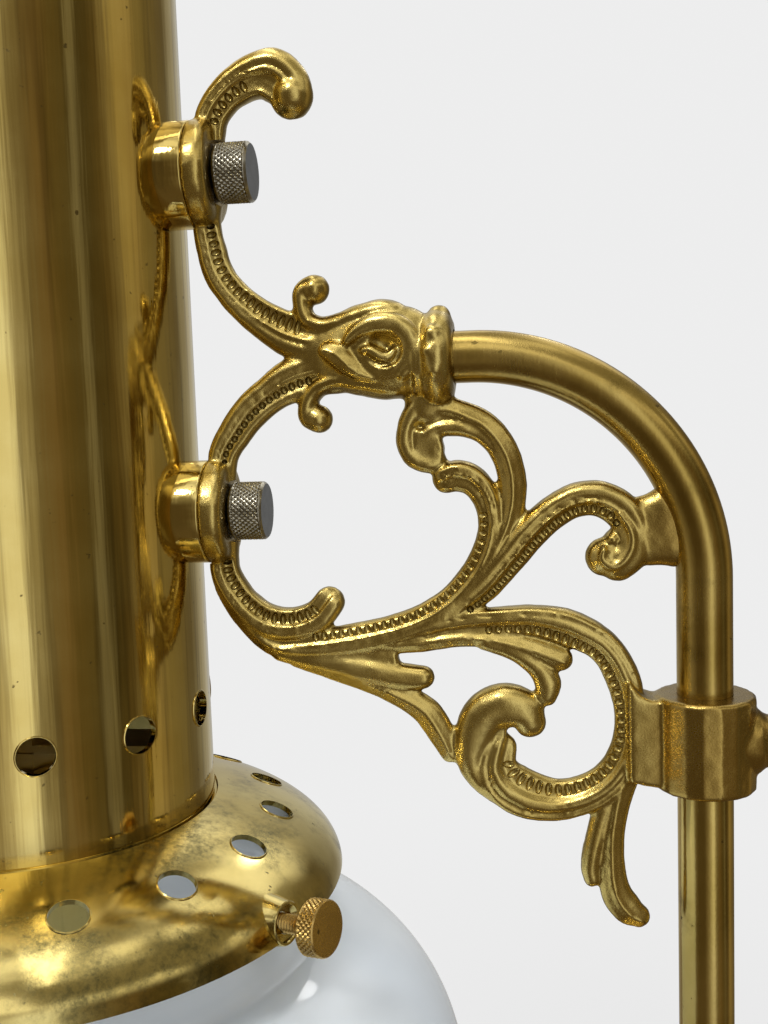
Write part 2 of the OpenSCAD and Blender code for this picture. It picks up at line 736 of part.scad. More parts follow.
module cylinder_cap() {
    skirt_r = cyl_in - fit_gap;
    dome_z = cyl_h + 2*cap_bead_r;
    dome_b = cap_rise - 2*cap_bead_r;
    outer = oval([0, dome_z], cyl_r - 1, dome_b, 0, 86, 18);
    inner = oval([0, dome_z - cap_wall], cyl_r - 1 - cap_wall, dome_b, 86, 0, 18);
    vent_a = 45;
    vent_r = (cyl_r - 1)*cos(vent_a);
    vent_h = dome_z + dome_b*sin(vent_a);
    vent_tilt = atan2(dome_b*cos(vent_a), (cyl_r - 1)*sin(vent_a));
    color(brass)
        at_head()
            difference() {
                rotate_extrude()
                    polygon(concat(
                        [[skirt_r - cap_wall, cyl_h - cap_skirt], [skirt_r, cyl_h - cap_skirt],
                            [skirt_r, cyl_h]],
                        arc([cyl_r - 1, cyl_h + cap_bead_r], cap_bead_r, -90, 90, 8),
                        [for (k = [1:len(outer) - 1]) outer[k]],
                        [[0, dome_z + dome_b], [0, dome_z + dome_b - cap_wall]],
                        [for (k = [0:len(inner) - 1]) inner[k]],
                        [[skirt_r - cap_wall, dome_z - cap_wall]]));
                for (k = [0:cap_vent_count - 1])
                    rotate([0, 0, 360*k/cap_vent_count])
                        translate([vent_r, 0, vent_h])
                            rotate([0, vent_tilt, 0])
                                translate([0, 0, -4])
                                    cylinder(d = cap_vent_d, h = 8);
                translate([0, 0, cyl_h])
                    cylinder(d = cap_bolt_d + 2*fit_gap, h = cap_rise + 10);
            }
}

cap_top = cyl_h + cap_rise;
finial_foot = 2.5;
finial_r = 8;
finial_neck = 3;

module cap_finial() {
    ball_r = finial_d/2;
    stem_r = 3.2;
    foot_z = cap_top + fit_gap;
    ball_z = foot_z + finial_foot + finial_neck + ball_r;
    color(brass)
        at_head() {
            translate([0, 0, cap_top - cap_wall - cap_bolt_l])
                cylinder(d = cap_bolt_d, h = cap_wall + cap_bolt_l + 1);
            rotate_extrude()
                polygon(concat(
                    [[0, foot_z], [finial_r, foot_z], [finial_r, foot_z + 1],
                        [stem_r, foot_z + finial_foot]],
                    arc([0, ball_z], ball_r, -60, 90, 16)));
        }
}

module cap_nut() {
    h = 3.5;
    width = 9;
    // The dome falls away by less than this at the nut's corners
    dome_fall = 0.25;
    color(dull_steel)
        at_head()
            translate([0, 0, cap_top - cap_wall - dome_fall - h])
                hex_nut(width, h, cap_bolt_d + 2*fit_gap);
}

// Shade holder and shade

// The holder's line from its lower edge up to the cylinder, a part of an ellipse moved in by a wall
function holder_line(t) =
    oval([0, -holder_drop], dome_x - t, dome_rise - t,
        asin((holder_drop - holder_edge_drop)/dome_rise), acos(dome_start/dome_x), 20);

// Children at each shade screw, with +X out along the screw and the origin at the holder's outside
module at_shade_screw(k) {
    turned(shade_screw_turn + 120*k)
        translate([shade_screw_r, 0, -shade_screw_drop])
            rotate([0, 90 - shade_screw_tilt, 0])
                children();
}

lip_proud = 0.9;
lip_root = 7;
lip_flare = 4;

// The room under the dome
module dome_room() {
    low = -2*holder_drop;
    rotate_extrude()
        polygon(concat([[0, low], [dome_x - holder_wall, low]],
            holder_line(holder_wall), [[0, -holder_wall]]));
}

// The flared lips round the shade screws, pressed out of the dome
module screw_lips() {
    difference() {
        for (k = [0:2])
            at_shade_screw(k)
                translate([0, 0, -lip_root])
                    cylinder(d1 = lip_d + lip_flare, d2 = lip_d, h = lip_root + lip_proud);
        dome_room();
    }
}

module shade_holder() {
    outer = holder_line(0);
    inner = reversed(holder_line(holder_wall));
    neck_r = cyl_in - fit_gap;
    vent_share = sqrt(1 - pow(holder_vent_r/dome_x, 2));
    vent_h = -holder_drop + dome_rise*vent_share;
    vent_slope = atan(dome_rise*holder_vent_r/(dome_x*dome_x*vent_share));
    color(brass)
        at_head()
            difference() {
                union() {
                    rotate_extrude()
                        polygon(concat(outer, [[neck_r, 0], [neck_r, neck_h], [neck_r - holder_wall, neck_h],
                            [neck_r - holder_wall, -holder_wall]], inner));
                    screw_lips();
                }
                for (k = [0:holder_vent_count - 1])
                    turned(holder_vent_turn + 360*k/holder_vent_count)
                        translate([holder_vent_r, 0, vent_h])
                            rotate([0, vent_slope, 0])
                                translate([0, 0, -4])
                                    cylinder(d = holder_vent_d, h = 8);
                rivet_holes();
                for (k = [0:2])
                    at_shade_screw(k) {
                        translate([0, 0, -2*lip_root])
                            cylinder(d = shade_screw_d + 2*run_gap, h = 3*lip_root);
                        translate([0, 0, lip_proud - 1.2])
                            cylinder(d1 = shade_screw_d + 1, d2 = lip_d - 1.2, h = 1.3);
                    }
            }
}

// A shade screw: it starts beside the glass's neck and ends in a knurled head
module shade_screw(k) {
    a = shade_screw_tilt;
    tip = (glass_neck_d/2 + face_gap - shade_screw_r)/cos(a) + shade_screw_d/2*tan(a);
    edge = 0.6;
    color(brass)
        at_head()
            at_shade_screw(k) {
                translate([0, 0, tip])
                    cylinder(d = shade_screw_d, h = shade_screw_gap - tip + 1);
                translate([0, 0, shade_screw_gap])
                    rotate_extrude()
                        polygon([[0, 0], [shade_knob_d/2 - edge, 0], [shade_knob_d/2, edge],
                            [shade_knob_d/2, shade_knob_t - edge], [shade_knob_d/2 - edge, shade_knob_t],
                            [0, shade_knob_t]]);
            }
}

module shade_screw_1() { shade_screw(0); }
module shade_screw_2() { shade_screw(1); }
module shade_screw_3() { shade_screw(2); }

// The glass's outside from its lip to its open end, moved in by t
function glass_line(t) =
    let (
        neck = glass_neck_d/2,
        belly = glass_d/2,
        turn_in = 12.6,
        half = belly - neck + turn_in,
        shoulder = 43.6,
        start = acos((neck - belly + half)/half))
    concat(
        [[neck - t, -glass_belly_drop + shoulder*sin(start) + 3]],
        reversed(oval([belly - half, -glass_belly_drop], half - t, shoulder - t, 0, start - 3, 14)),
        [for (k = [1:8]) let (u = k/8)
            [belly - t - (belly - glass_mouth_d/2)*u*u,
                -glass_belly_drop - (glass_drop - glass_belly_drop)*u]]);

module glass_shade() {
    lip = glass_lip_d/2;
    color("#f2f3f2")
        at_head()
            rotate_extrude()
                polygon(concat(
                    [[glass_neck_d/2 - glass_wall, glass_top], [lip, glass_top],
                        [lip, glass_top - glass_lip_h], [glass_neck_d/2, glass_top - glass_lip_h - 0.3]],
                    glass_line(0), reversed(glass_line(glass_wall))));
}

// Lampholder and bulb

bar_reach = cyl_in - holder_wall - 2*fit_gap;
bar_tab = 8;
rivet_d = 3;
rivet_head_t = 1;

module socket_bar() {
    color(brass)
        at_head()
            difference() {
                intersection() {
                    union() {
                        translate([-cyl_in, -bar_w/2, bar_z])
                            cube([2*cyl_in, bar_w, bar_t]);
                        for (s = [-1, 1])
                            translate([s*(bar_reach - bar_t/2) - bar_t/2, -bar_w/2, bar_z - bar_tab])
                                cube([bar_t, bar_w, bar_tab + bar_t/2]);
                    }
                    union() {
                        translate([0, 0, bar_z])
                            cylinder(r = cyl_in - fit_gap, h = bar_t);
                        translate([0, 0, bar_z - bar_tab])
                            cylinder(r = bar_reach, h = bar_tab + bar_t/2);
                    }
                }
                rivet_holes();
                translate([0, 0, bar_z - 1])
                    cylinder(d = nipple_d + 2*fit_gap, h = bar_t + 2);
            }
}

// The holes for the rivets in the bar's tabs and in the holder's neck
module rivet_holes() {
    for (s = [0, 180])
        rotate([0, 0, s])
            along_x(bar_reach - 2*bar_t, bar_z - bar_tab/2)
                cylinder(d = rivet_d + 2*fit_gap, h = 2*bar_t + 2*holder_wall);
}

module bar_rivets() {
    head_x = bar_reach - bar_t - rivet_head_t - fit_gap;
    color(brass)
        at_head()
            for (s = [0, 180])
                rotate([0, 0, s]) {
                    along_x(head_x, bar_z - bar_tab/2)
                        cylinder(d = 2*rivet_d, h = rivet_head_t);
                    along_x(head_x, bar_z - bar_tab/2)
                        cylinder(d = rivet_d, h = rivet_head_t + bar_t + holder_wall);
                }
}

module nipple() {
    foot = shell_top + 3;
    head = bar_z + bar_t + nipple_nut_h + 2;
    color(brass)
        at_head()
            translate([0, 0, foot])
                tube(nipple_d/2, (nipple_d - nipple_bore)/2, head - foot);
}

module nipple_nuts() {
    width = 15;
    color(brass)
        at_head()
            for (z = [bar_z - nipple_nut_h, bar_z + bar_t])
                translate([0, 0, z])
                    hex_nut(width, nipple_nut_h, nipple_d + 2*fit_gap);
}

module lampholder_cap() {
    r = shell_d/2;
    wall = shell_wall;
    hub = nipple_d/2 + 3;
    hub_t = 2.5;
    color(brass)
        at_head()
            difference() {
                rotate_extrude()
                    polygon(concat(
                        [[r - wall, shell_top], [r, shell_top]],
                        oval([hub, shell_top], r - hub, holder_cap_h, 0, 90, 10),
                        [[0, lamp_top], [0, lamp_top - hub_t]],
                        reversed(oval([hub, shell_top], r - hub - wall, holder_cap_h - hub_t, 0, 90, 10))));
                translate([0, 0, lamp_top - 2*hub_t])
                    cylinder(d = nipple_d + 2*fit_gap, h = 4*hub_t);
            }
}

module lampholder_shell() {
    color(brass)
        at_head()
            difference() {
                translate([0, 0, shell_foot])
                    tube(shell_d/2, shell_wall, shell_h);
                translate([0, 0, key_z])
                    rotate([90, 0, 0])
                        cylinder(d = spindle_d + 2*run_gap, h = shell_d);
            }
}

module lampholder_core() {
    color("#e9e4d8")
        at_head()
            difference() {
                translate([0, 0, shell_foot + core_rise])
                    cylinder(r = core_r, h = shell_h - core_rise);
                translate([0, 0, shell_foot])
                    cylinder(r = bulb_cap_r + face_gap, h = shell_h - core_head);
                translate([0, 0, key_z])
                    rotate([90, 0, 0])
                        cylinder(d = spindle_d + 2*run_gap, h = shell_d);
            }
}

contact_t = 0.8;
cap_head = shell_foot + shell_h - core_head - contact_t;

module lampholder_contact() {
    color("#c08a45")
        at_head()
            translate([0, 0, cap_head])
                cylinder(r = 5, h = contact_t);
}

module switch_key() {
    bow = key_w/2;
    hub_l = 10;
    web_l = 3;
    blade_l = 9;
    spindle_in = 6;
    color("#2b2521")
        at_head()
            translate([0, 0, key_z])
                rotate([90, 0, 0]) {
                    translate([0, 0, core_r - spindle_in])
                        cylinder(d = spindle_d, h = -key_y - core_r + spindle_in + web_l);
                    translate([0, 0, -key_y])
                        difference() {
                            cylinder(r = bow/2, h = hub_l);
                            for (s = [-1, 1])
                                translate([-bow, s*(key_t/2 + bow) - bow, web_l])
                                    cube([key_w, key_w, hub_l]);
                        }
                    translate([-bow, -key_t/2, -key_y + web_l])
                        cube([key_w, key_t, blade_l]);
                }
}

bulb_z = shell_foot - 1;

module bulb_cap() {
    color("#c2b48a")
        at_head()
            difference() {
                rotate_extrude()
                    polygon([[0, bulb_z], [bulb_cap_r, bulb_z], [bulb_cap_r, cap_head - 5],
                        [5, cap_head - 1], [4, cap_head - fit_gap], [0, cap_head - fit_gap]]);
                translate([0, 0, bulb_z - 1])
                    cylinder(r = bulb_cap_r - 0.6, h = cap_head - bulb_z - 5);
            }
}

// The bulb's outside from its neck to its foot, moved in by t
function bulb_line(t) =
    let (r = bulb_d/2, neck = bulb_cap_r - 0.8, round_z = bulb_z - bulb_l + r)
    concat(
        [[neck - t, bulb_z + 8], [neck - t, bulb_z - 1]],
        [for (k = [1:9]) let (u = k/10, s = u*u*(3 - 2*u))
            [neck + (r - neck)*s - t, bulb_z - 1 - (bulb_z - 1 - round_z)*u]],
        arc([0, round_z], r - t, 0, -90, 12));

module bulb_glass() {
    color("#f6f3ea", 0.5)
        at_head()
            rotate_extrude()
                polygon(concat(bulb_line(0), reversed(bulb_line(0.8))));
}

stem_l = 26;

module bulb_stem() {
    color("#dfe6e6")
        at_head()
            rotate_extrude()
                polygon([[0, bulb_z + 6], [bulb_cap_r - 2, bulb_z + 6], [bulb_cap_r - 2, bulb_z + 4],
                    [5, bulb_z], [3, bulb_z - stem_l], [0, bulb_z - stem_l]]);
}

module bulb_filament() {
    wire_r = 0.5;
    span = 12;
    drop = 14;
    foot = bulb_z - stem_l;
    color("#8c8c88")
        at_head() {
            for (s = [-1, 1])
                translate([s*span, 0, foot - drop])
                    cylinder(r = wire_r, h = drop);
            translate([-span - wire_r, -wire_r, foot - 2*wire_r])
                cube([2*span + 2*wire_r, 2*wire_r, 2*wire_r]);
            translate([0, 0, foot - drop])
                rotate([90, 0, 0])
                    rotate_extrude(angle = 180, start = 180)
                        translate([span, 0])
                            circle(r = wire_r);
        }
}

// Cord inlet

inlet_l = 12;

module inlet_bush() {
    flange_t = 3;
    color("#2a2826")
        at_head()
            difference() {
                union() {
                    along_x(-cyl_r - flange_t - fit_gap, inlet_z)
                        cylinder(d = inlet_flange_d, h = flange_t);
                    along_x(-cyl_r - flange_t - fit_gap, inlet_z)
                        cylinder(d = inlet_d, h = inlet_l);
                }
                along_x(-cyl_r - 2*flange_t, inlet_z)
                    cylinder(d = inlet_bore, h = inlet_l + 2*flange_t);
            }
}

module inlet_nut() {
    width = 14;
    h = 4;
    sag = cyl_in - sqrt(cyl_in*cyl_in - width*width/3);
    color("#2a2826")
        at_head()
            along_x(-cyl_in + sag, inlet_z)
                hex_nut(width, h, inlet_d + 2*fit_gap);
}

base_felt();
base_weight();
base_cover();
post();
post_ferrule();
post_washer();
post_nut();
arm_tube();
swivel_spigot();
scroll_bracket();
clamp_screw();
upper_boss();
lower_boss();
upper_inner_nut();
lower_inner_nut();
upper_bracket_screw();
lower_bracket_screw();
lamp_cylinder();
cylinder_cap();
cap_finial();
cap_nut();
shade_holder();
shade_screw_1();
shade_screw_2();
shade_screw_3();
glass_shade();
socket_bar();
bar_rivets();
nipple();
nipple_nuts();
lampholder_cap();
lampholder_shell();
lampholder_core();
lampholder_contact();
switch_key();
bulb_cap();
bulb_glass();
bulb_stem();
bulb_filament();
inlet_bush();
inlet_nut();
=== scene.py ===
"""Looks of the student lamp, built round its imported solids.

The scroll bracket, the turned brass, the glass and the knurled screws are modelled here, and the inner
pieces keep their solids. Every finish is a procedural material.
"""

import json
import logging
import math
from dataclasses import dataclass
from enum import Enum
from typing import Any, Optional, Sequence, Union

import bpy
import numpy as np
from mathutils import Matrix, Vector


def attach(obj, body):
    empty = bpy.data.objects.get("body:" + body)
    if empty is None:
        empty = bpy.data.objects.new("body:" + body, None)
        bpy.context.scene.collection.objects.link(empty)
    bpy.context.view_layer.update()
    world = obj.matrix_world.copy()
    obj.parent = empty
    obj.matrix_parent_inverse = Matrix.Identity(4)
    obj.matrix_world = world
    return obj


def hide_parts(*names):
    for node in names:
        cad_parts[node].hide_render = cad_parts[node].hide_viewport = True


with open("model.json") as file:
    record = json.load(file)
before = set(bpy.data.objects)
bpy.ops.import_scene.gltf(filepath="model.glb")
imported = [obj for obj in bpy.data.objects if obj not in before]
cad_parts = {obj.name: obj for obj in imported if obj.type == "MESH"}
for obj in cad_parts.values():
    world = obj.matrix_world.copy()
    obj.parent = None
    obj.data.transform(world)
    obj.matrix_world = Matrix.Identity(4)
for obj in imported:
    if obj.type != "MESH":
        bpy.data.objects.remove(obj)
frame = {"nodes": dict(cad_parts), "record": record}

LOG = logging.getLogger("student_lamp")
MM = 0.001
UP = Vector((0, 0, 1))
RIGHT = Vector((1, 0, 0))
# Sizes in millimetres, an angle in degrees and steps round, which several pieces share
REACH = 161.25
ARM_Z = 104.2
EAR_ZS = (147.5, 70.5)
TUBE_R = 6.2
FIT_GAP = 0.02
MERGE_GAP = 0.002
SHEET_CREASE = 15.0
FINE_STEPS = 240
HOLE_SIDES = 40
# The foot of the cylinder's axis, in metres
HEAD = Vector((-REACH * MM, 0.0, 0.33))
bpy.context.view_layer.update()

Colour = tuple[float, float, float]
Point = tuple[float, float]
LinePoint = tuple[float, float, float]


class Body(Enum):
    """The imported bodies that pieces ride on."""

    STAND = "stand"
    ARM = "arm"
    CLAMP = "clamp"
    UPPER_SCREW = "upper_screw"
    LOWER_SCREW = "lower_screw"
    FIRST_SHADE_SCREW = "first_shade_screw"
    SECOND_SHADE_SCREW = "second_shade_screw"
    THIRD_SHADE_SCREW = "third_shade_screw"


class Slot(Enum):
    """The record's material slots."""

    POLISHED_BRASS = "polished_brass"
    TARNISHED_BRASS = "tarnished_brass"
    CAST_BRASS = "cast_brass"
    PLAIN_BRASS = "plain_brass"
    NICKEL_STEEL = "nickel_steel"
    PLAIN_STEEL = "plain_steel"
    OPAL_GLASS = "opal_glass"
    BULB_GLASS = "bulb_glass"
    PORCELAIN = "porcelain"
    DARK_PLASTIC = "dark_plastic"
    IRON = "iron"
    FELT = "felt"


# Shader graphs


class Socket:
    """A shader value that Python's operators work on."""

    def __init__(self, graph: "Graph", output: Optional[bpy.types.NodeSocket]) -> None:
        """Keep the graph and the output that this value stands for."""
        self.graph = graph
        self.output = output

    def _math(self, operation: str, first: Any, second: Any) -> "Socket":
        """Add a Math node on two values."""
        return self.graph.node("ShaderNodeMath", {"operation": operation}, {0: first, 1: second})

    def __add__(self, other: Any) -> "Socket":
        """Sum."""
        return self._math("ADD", self, other)

    __radd__ = __add__

    def __sub__(self, other: Any) -> "Socket":
        """Difference."""
        return self._math("SUBTRACT", self, other)

    def __rsub__(self, other: Any) -> "Socket":
        """Difference, with this value taken away."""
        return self._math("SUBTRACT", other, self)

    def __mul__(self, other: Any) -> "Socket":
        """Product."""
        return self._math("MULTIPLY", self, other)

    __rmul__ = __mul__

    def __truediv__(self, other: Any) -> "Socket":
        """Quotient."""
        return self._math("DIVIDE", self, other)

    def step(self, low: float, high: float) -> "Socket":
        """Rise smoothly from 0 at low to 1 at high."""
        return self.graph.node(
            "ShaderNodeMapRange",
            {"interpolation_type": "SMOOTHSTEP"},
            {"Value": self, "From Min": low, "From Max": high},
        )


class Graph:
    """The node graph of one material or of the world."""

    def __init__(self, owner: Union[bpy.types.Material, bpy.types.World]) -> None:
        """Start with an empty graph.

        Args:
            owner: The material or world.
        """
        self.owner = owner
        owner.use_nodes = True
        self.tree = owner.node_tree
        self.tree.nodes.clear()

    @classmethod
    def material(cls, name: str) -> "Graph":
        """The graph of a new material."""
        return cls(bpy.data.materials.new(name))

    def node(
        self,
        kind: str,
        settings: Optional[dict[str, Any]] = None,
        sockets: Optional[dict[Union[int, str], Any]] = None,
        output: Union[int, str] = 0,
    ) -> Socket:
        """Add one node.

        Args:
            kind: The node's type.
            settings: Its properties, set before its sockets.
            sockets: Values or links of its inputs, by name or number.
            output: The output that is returned.

        Returns:
            The output as a value to work on.
        """
        made = self.tree.nodes.new(kind)
        for key, value in (settings or {}).items():
            setattr(made, key, value)
        for key, value in (sockets or {}).items():
            target = made.inputs[key]
            if isinstance(value, Socket):
                self.tree.links.new(value.output, target)
            elif target.type == "RGBA" and len(value) == 3:
                target.default_value = (*value, 1.0)
            else:
                target.default_value = value
        return Socket(self, made.outputs[output]) if made.outputs else Socket(self, None)

    def place(self, stretch: Colour = (1.0, 1.0, 1.0)) -> Socket:
        """Object coordinates in metres, stretched on each axis."""
        object_place = self.node("ShaderNodeTexCoord", output="Object")
        return self.node("ShaderNodeMapping", None, {"Vector": object_place, "Scale": stretch})

    def noise(self, where: Socket, size_mm: float, detail: float = 4.0, rough: float = 0.55) -> Socket:
        """Noise with features of about a size in millimetres."""
        return self.node(
            "ShaderNodeTexNoise",
            None,
            {"Vector": where, "Scale": 1.0 / (size_mm * MM), "Detail": detail, "Roughness": rough},
        )

    def mix(self, share: Any, first: Any, second: Any) -> Socket:
        """Mix two colours."""
        return self.node(
            "ShaderNodeMix", {"data_type": "RGBA"}, {0: share, 6: first, 7: second}, output=2
        )

    def bump(
        self, height: Socket, depth_mm: float, strength: float = 1.0, under: Optional[Socket] = None
    ) -> Socket:
        """A bumped normal from a height of 0 to 1, on top of another normal where one is given.

        Args:
            height: The height.
            depth_mm: How deep a height of 1 is.
            strength: The share of the bump that shows.
            under: The normal that the bump lies on.

        Returns:
            The bumped normal.
        """
        sockets = {"Strength": strength, "Distance": depth_mm * MM, "Height": height}
        if under is not None:
            sockets["Normal"] = under
        return self.node("ShaderNodeBump", None, sockets)

    def ramp(self, share: Socket, stops: Sequence[tuple[float, Colour]]) -> Socket:
        """A colour that changes over a share from 0 to 1, through stops in order.

        Args:
            share: Where on the ramp the colour is taken.
            stops: Each stop's place and colour.

        Returns:
            The colour.
        """
        made = self.tree.nodes.new("ShaderNodeValToRGB")
        elements = made.color_ramp.elements
        elements[0].position, elements[-1].position = stops[0][0], stops[-1][0]
        for place, _ in stops[1:-1]:
            elements.new(place)
        for element, (_, colour) in zip(elements, stops):
            element.color = (*colour, 1.0)
        self.tree.links.new(share.output, made.inputs["Fac"])
        return Socket(self, made.outputs["Color"])

    def crevices(self, reach_mm: float) -> Socket:
        """How open the surface is: 1 on open faces, towards 0 in pits and corners."""
        return self.node(
            "ShaderNodeAmbientOcclusion",
            {"samples": 6, "only_local": True},
            {"Distance": reach_mm * MM},
            output="AO",
        )

    def facing(self, axis: str) -> Socket:
        """How far the surface faces along one of the object's own axes, from -1 to 1."""
        normal = self.node("ShaderNodeTexCoord", output="Normal")
        return self.node("ShaderNodeSeparateXYZ", None, {0: normal}, output=axis)

    def principled(self, sockets: dict[Union[int, str], Any]) -> bpy.types.Material:
        """Finish the material with a Principled shader and return it.

        Args:
            sockets: Values or links of the shader's inputs.

        Returns:
            The finished material.
        """
        shader = self.node("ShaderNodeBsdfPrincipled", None, sockets)
        self.node("ShaderNodeOutputMaterial", None, {"Surface": shader})
        return self.owner


# Finishes


@dataclass(frozen=True)
class Brass:
    """Brass with brushed lines, tarnish, specks, grime and painted shade in its corners, painted shade on
    its edge-on faces, and dark streaks that are partly painted reflection.
    """

    name: str
    bright: Colour
    deep: Colour
    # Dark colour for tarnish, specks and grime, also used for the painted shade and the painted dark
    # streaks of reflection
    dirt_and_shade: Colour
    roughness: float
    rough_spread: float
    line_stretch: Colour = (1.0, 1.0, 0.03)
    line_depth_mm: float = 0.004
    wave_depth_mm: float = 0.0
    streak_depth_mm: float = 0.0
    # Share of dark vertical streaks, partly polishing marks and partly painted dark reflection
    streak_share: float = 0.0
    grain_mm: float = 0.5
    grain_depth_mm: float = 0.0
    speck_share: float = 0.0
    patch_share: float = 0.0
    # Reach of the painted shade, with some grime, in corners and pits
    corner_mm: float = 0.0
    worn: Colour = (0.0, 0.0, 0.0)
    worn_share: float = 0.0
    worn_from_mm: float = 0.0
    worn_blend_mm: float = 6.0
    # Share of painted shade on faces that turn edge-on to the front
    side_shade_share: float = 0.0
    cloud_mm: float = 24.0
    line_mm: float = 0.35
    patch_mm: float = 17.0
    fleck_mm: float = 1.6
    speck_mm: float = 2.2
    wave_mm: float = 26.0
    streak_mm: float = 4.5

    def material(self) -> bpy.types.Material:
        """Build the node material.

        Returns:
            The finished material.
        """
        g = Graph.material(self.name)
        where = g.place()
        cloud = g.noise(where, self.cloud_mm, 5.0)
        lines = g.noise(g.place(self.line_stretch), self.line_mm, 3.0, 0.6)
        colour = g.mix(cloud.step(0.35, 0.68), self.deep, self.bright)
        spread = (lines.step(0.35, 0.75) + cloud.step(0.4, 0.7)) * 0.5
        rough = self.roughness + self.rough_spread * spread
        if self.worn_share:
            along = g.node("ShaderNodeSeparateXYZ", None, {0: where}, output="X") / MM
            blend = self.worn_blend_mm
            handled = along.step(self.worn_from_mm - blend, self.worn_from_mm + blend)
            colour = g.mix(self.worn_share * handled, colour, self.worn)
        # Painted shade: faces turned edge-on to the front are darkened
        if self.side_shade_share:
            front = g.facing("Y")
            side = 1.0 - (front * front).step(0.03, 0.40)
            colour = g.mix(self.side_shade_share * side, colour, self.dirt_and_shade)
        if self.patch_share:
            patches = g.noise(where, self.patch_mm, 9.0, 0.66)
            patches = patches.step(0.60 - self.patch_share, 0.84 - self.patch_share)
            fine = g.noise(where, self.fleck_mm, 5.0, 0.7).step(0.30, 0.70)
            stain = patches * (0.35 + 0.65 * fine)
            colour = g.mix(stain, colour, self.dirt_and_shade)
            rough = rough + 0.16 * stain
        if self.speck_share:
            specks = g.noise(where, self.speck_mm, 2.0, 0.5)
            specks = specks.step(0.735 - self.speck_share, 0.79 - self.speck_share)
            colour = g.mix(0.75 * specks, colour, self.dirt_and_shade)
            rough = rough + 0.2 * specks
        # Painted shade, with some grime: corners and pits darken towards the dark colour
        if self.corner_mm:
            corner_shade = 1.0 - g.crevices(self.corner_mm).step(0.32, 0.96)
            colour = g.mix(0.76 * corner_shade, colour, self.dirt_and_shade)
            rough = rough + 0.14 * corner_shade
        normal = g.bump(lines, self.line_depth_mm)
        if self.wave_depth_mm:
            wave = g.noise(g.place((1.0, 1.0, 0.3)), self.wave_mm, 1.0, 0.4)
            normal = g.bump(wave, self.wave_depth_mm, under=normal)
        # Dark vertical streaks: partly polishing marks, partly painted dark reflection in the colour
        if self.streak_depth_mm:
            streak = g.noise(g.place((1.0, 1.0, 0.04)), self.streak_mm, 3.0, 0.6)
            colour = g.mix(self.streak_share * streak.step(0.50, 0.68), colour, self.dirt_and_shade)
            normal = g.bump(streak, self.streak_depth_mm, under=normal)
        if self.grain_depth_mm:
            grain = g.noise(where, self.grain_mm, 3.0, 0.6)
            normal = g.bump(grain, self.grain_depth_mm, under=normal)
        return g.principled({"Base Color": colour, "Metallic": 1.0, "Roughness": rough, "Normal": normal})


@dataclass(frozen=True)
class Steel:
    """Dulled plated steel, with grime and painted shade in the seats between its knurls, and a painted dark
    reflection on its flat end.
    """

    name: str
    bright: Colour
    deep: Colour
    roughness: float
    corner_mm: float = 0.0
    # Painted dark blue-grey reflection on the flat end, where one is given
    end: Optional[Colour] = None
    # Colour of the grime and painted shade in the knurls' seats
    seat_grime_and_shade: Colour = (0.035, 0.030, 0.022)

    def material(self) -> bpy.types.Material:
        """Build the node material.

        Returns:
            The finished material.
        """
        g = Graph.material(self.name)
        where = g.place()
        cloud = g.noise(where, 3.0, 6.0, 0.65)
        colour = g.mix(cloud.step(0.3, 0.7), self.deep, self.bright)
        rough = self.roughness + 0.16 * cloud
        # Painted reflection: the flat end that faces along +X is coloured dark blue-grey
        if self.end:
            colour = g.mix(g.facing("X").step(0.80, 0.95), colour, self.end)
        # Painted shade, with some grime, in the seats between the knurls
        if self.corner_mm:
            corner_shade = 1.0 - g.crevices(self.corner_mm).step(0.25, 0.9)
            colour = g.mix(0.85 * corner_shade, colour, self.seat_grime_and_shade)
            rough = rough + 0.2 * corner_shade
        normal = g.bump(g.noise(where, 0.25, 2.0), 0.006)
        return g.principled({"Base Color": colour, "Metallic": 1.0, "Roughness": rough, "Normal": normal})


@dataclass(frozen=True)
class Opal:
    """Opal glass: milk white under a clear gloss, with faint clouds and waves."""

    name: str
    white: Colour
    cool: Colour

    def material(self) -> bpy.types.Material:
        """Build the node material.

        Returns:
            The finished material.
        """
        g = Graph.material(self.name)
        where = g.place()
        cloud = g.noise(where, 60.0, 3.0)
        colour = g.mix(cloud.step(0.35, 0.65), self.white, self.cool)
        dust = g.noise(where, 1.2, 6.0, 0.7)
        rough = 0.05 + 0.06 * dust.step(0.5, 0.8)
        wave = g.bump(g.noise(where, 30.0, 1.0), 0.12, 0.4)
        return g.principled(
            {
                "Base Color": colour,
                "Roughness": rough,
                "Normal": wave,
                "IOR": 1.5,
                "Subsurface Weight": 0.25,
                "Subsurface Radius": (0.006, 0.006, 0.006),
                "Subsurface Scale": 1.0,
                "Coat Weight": 0.4,
                "Coat Roughness": 0.12,
            }
        )


@dataclass(frozen=True)
class Clear:
    """Clear bulb glass."""

    name: str
    tint: Colour
    clearness: float

    def material(self) -> bpy.types.Material:
        """Build the node material.

        Returns:
            The finished material.
        """
        g = Graph.material(self.name)
        ripple = g.bump(g.noise(g.place(), 12.0, 1.0), 0.05, 0.4)
        smear = g.noise(g.place(), 4.0, 5.0, 0.7).step(0.45, 0.8)
        return g.principled(
            {
                "Base Color": self.tint,
                "Roughness": 0.03 + 0.08 * smear,
                "Normal": ripple,
                "IOR": 1.45,
                "Transmission Weight": self.clearness,
            }
        )


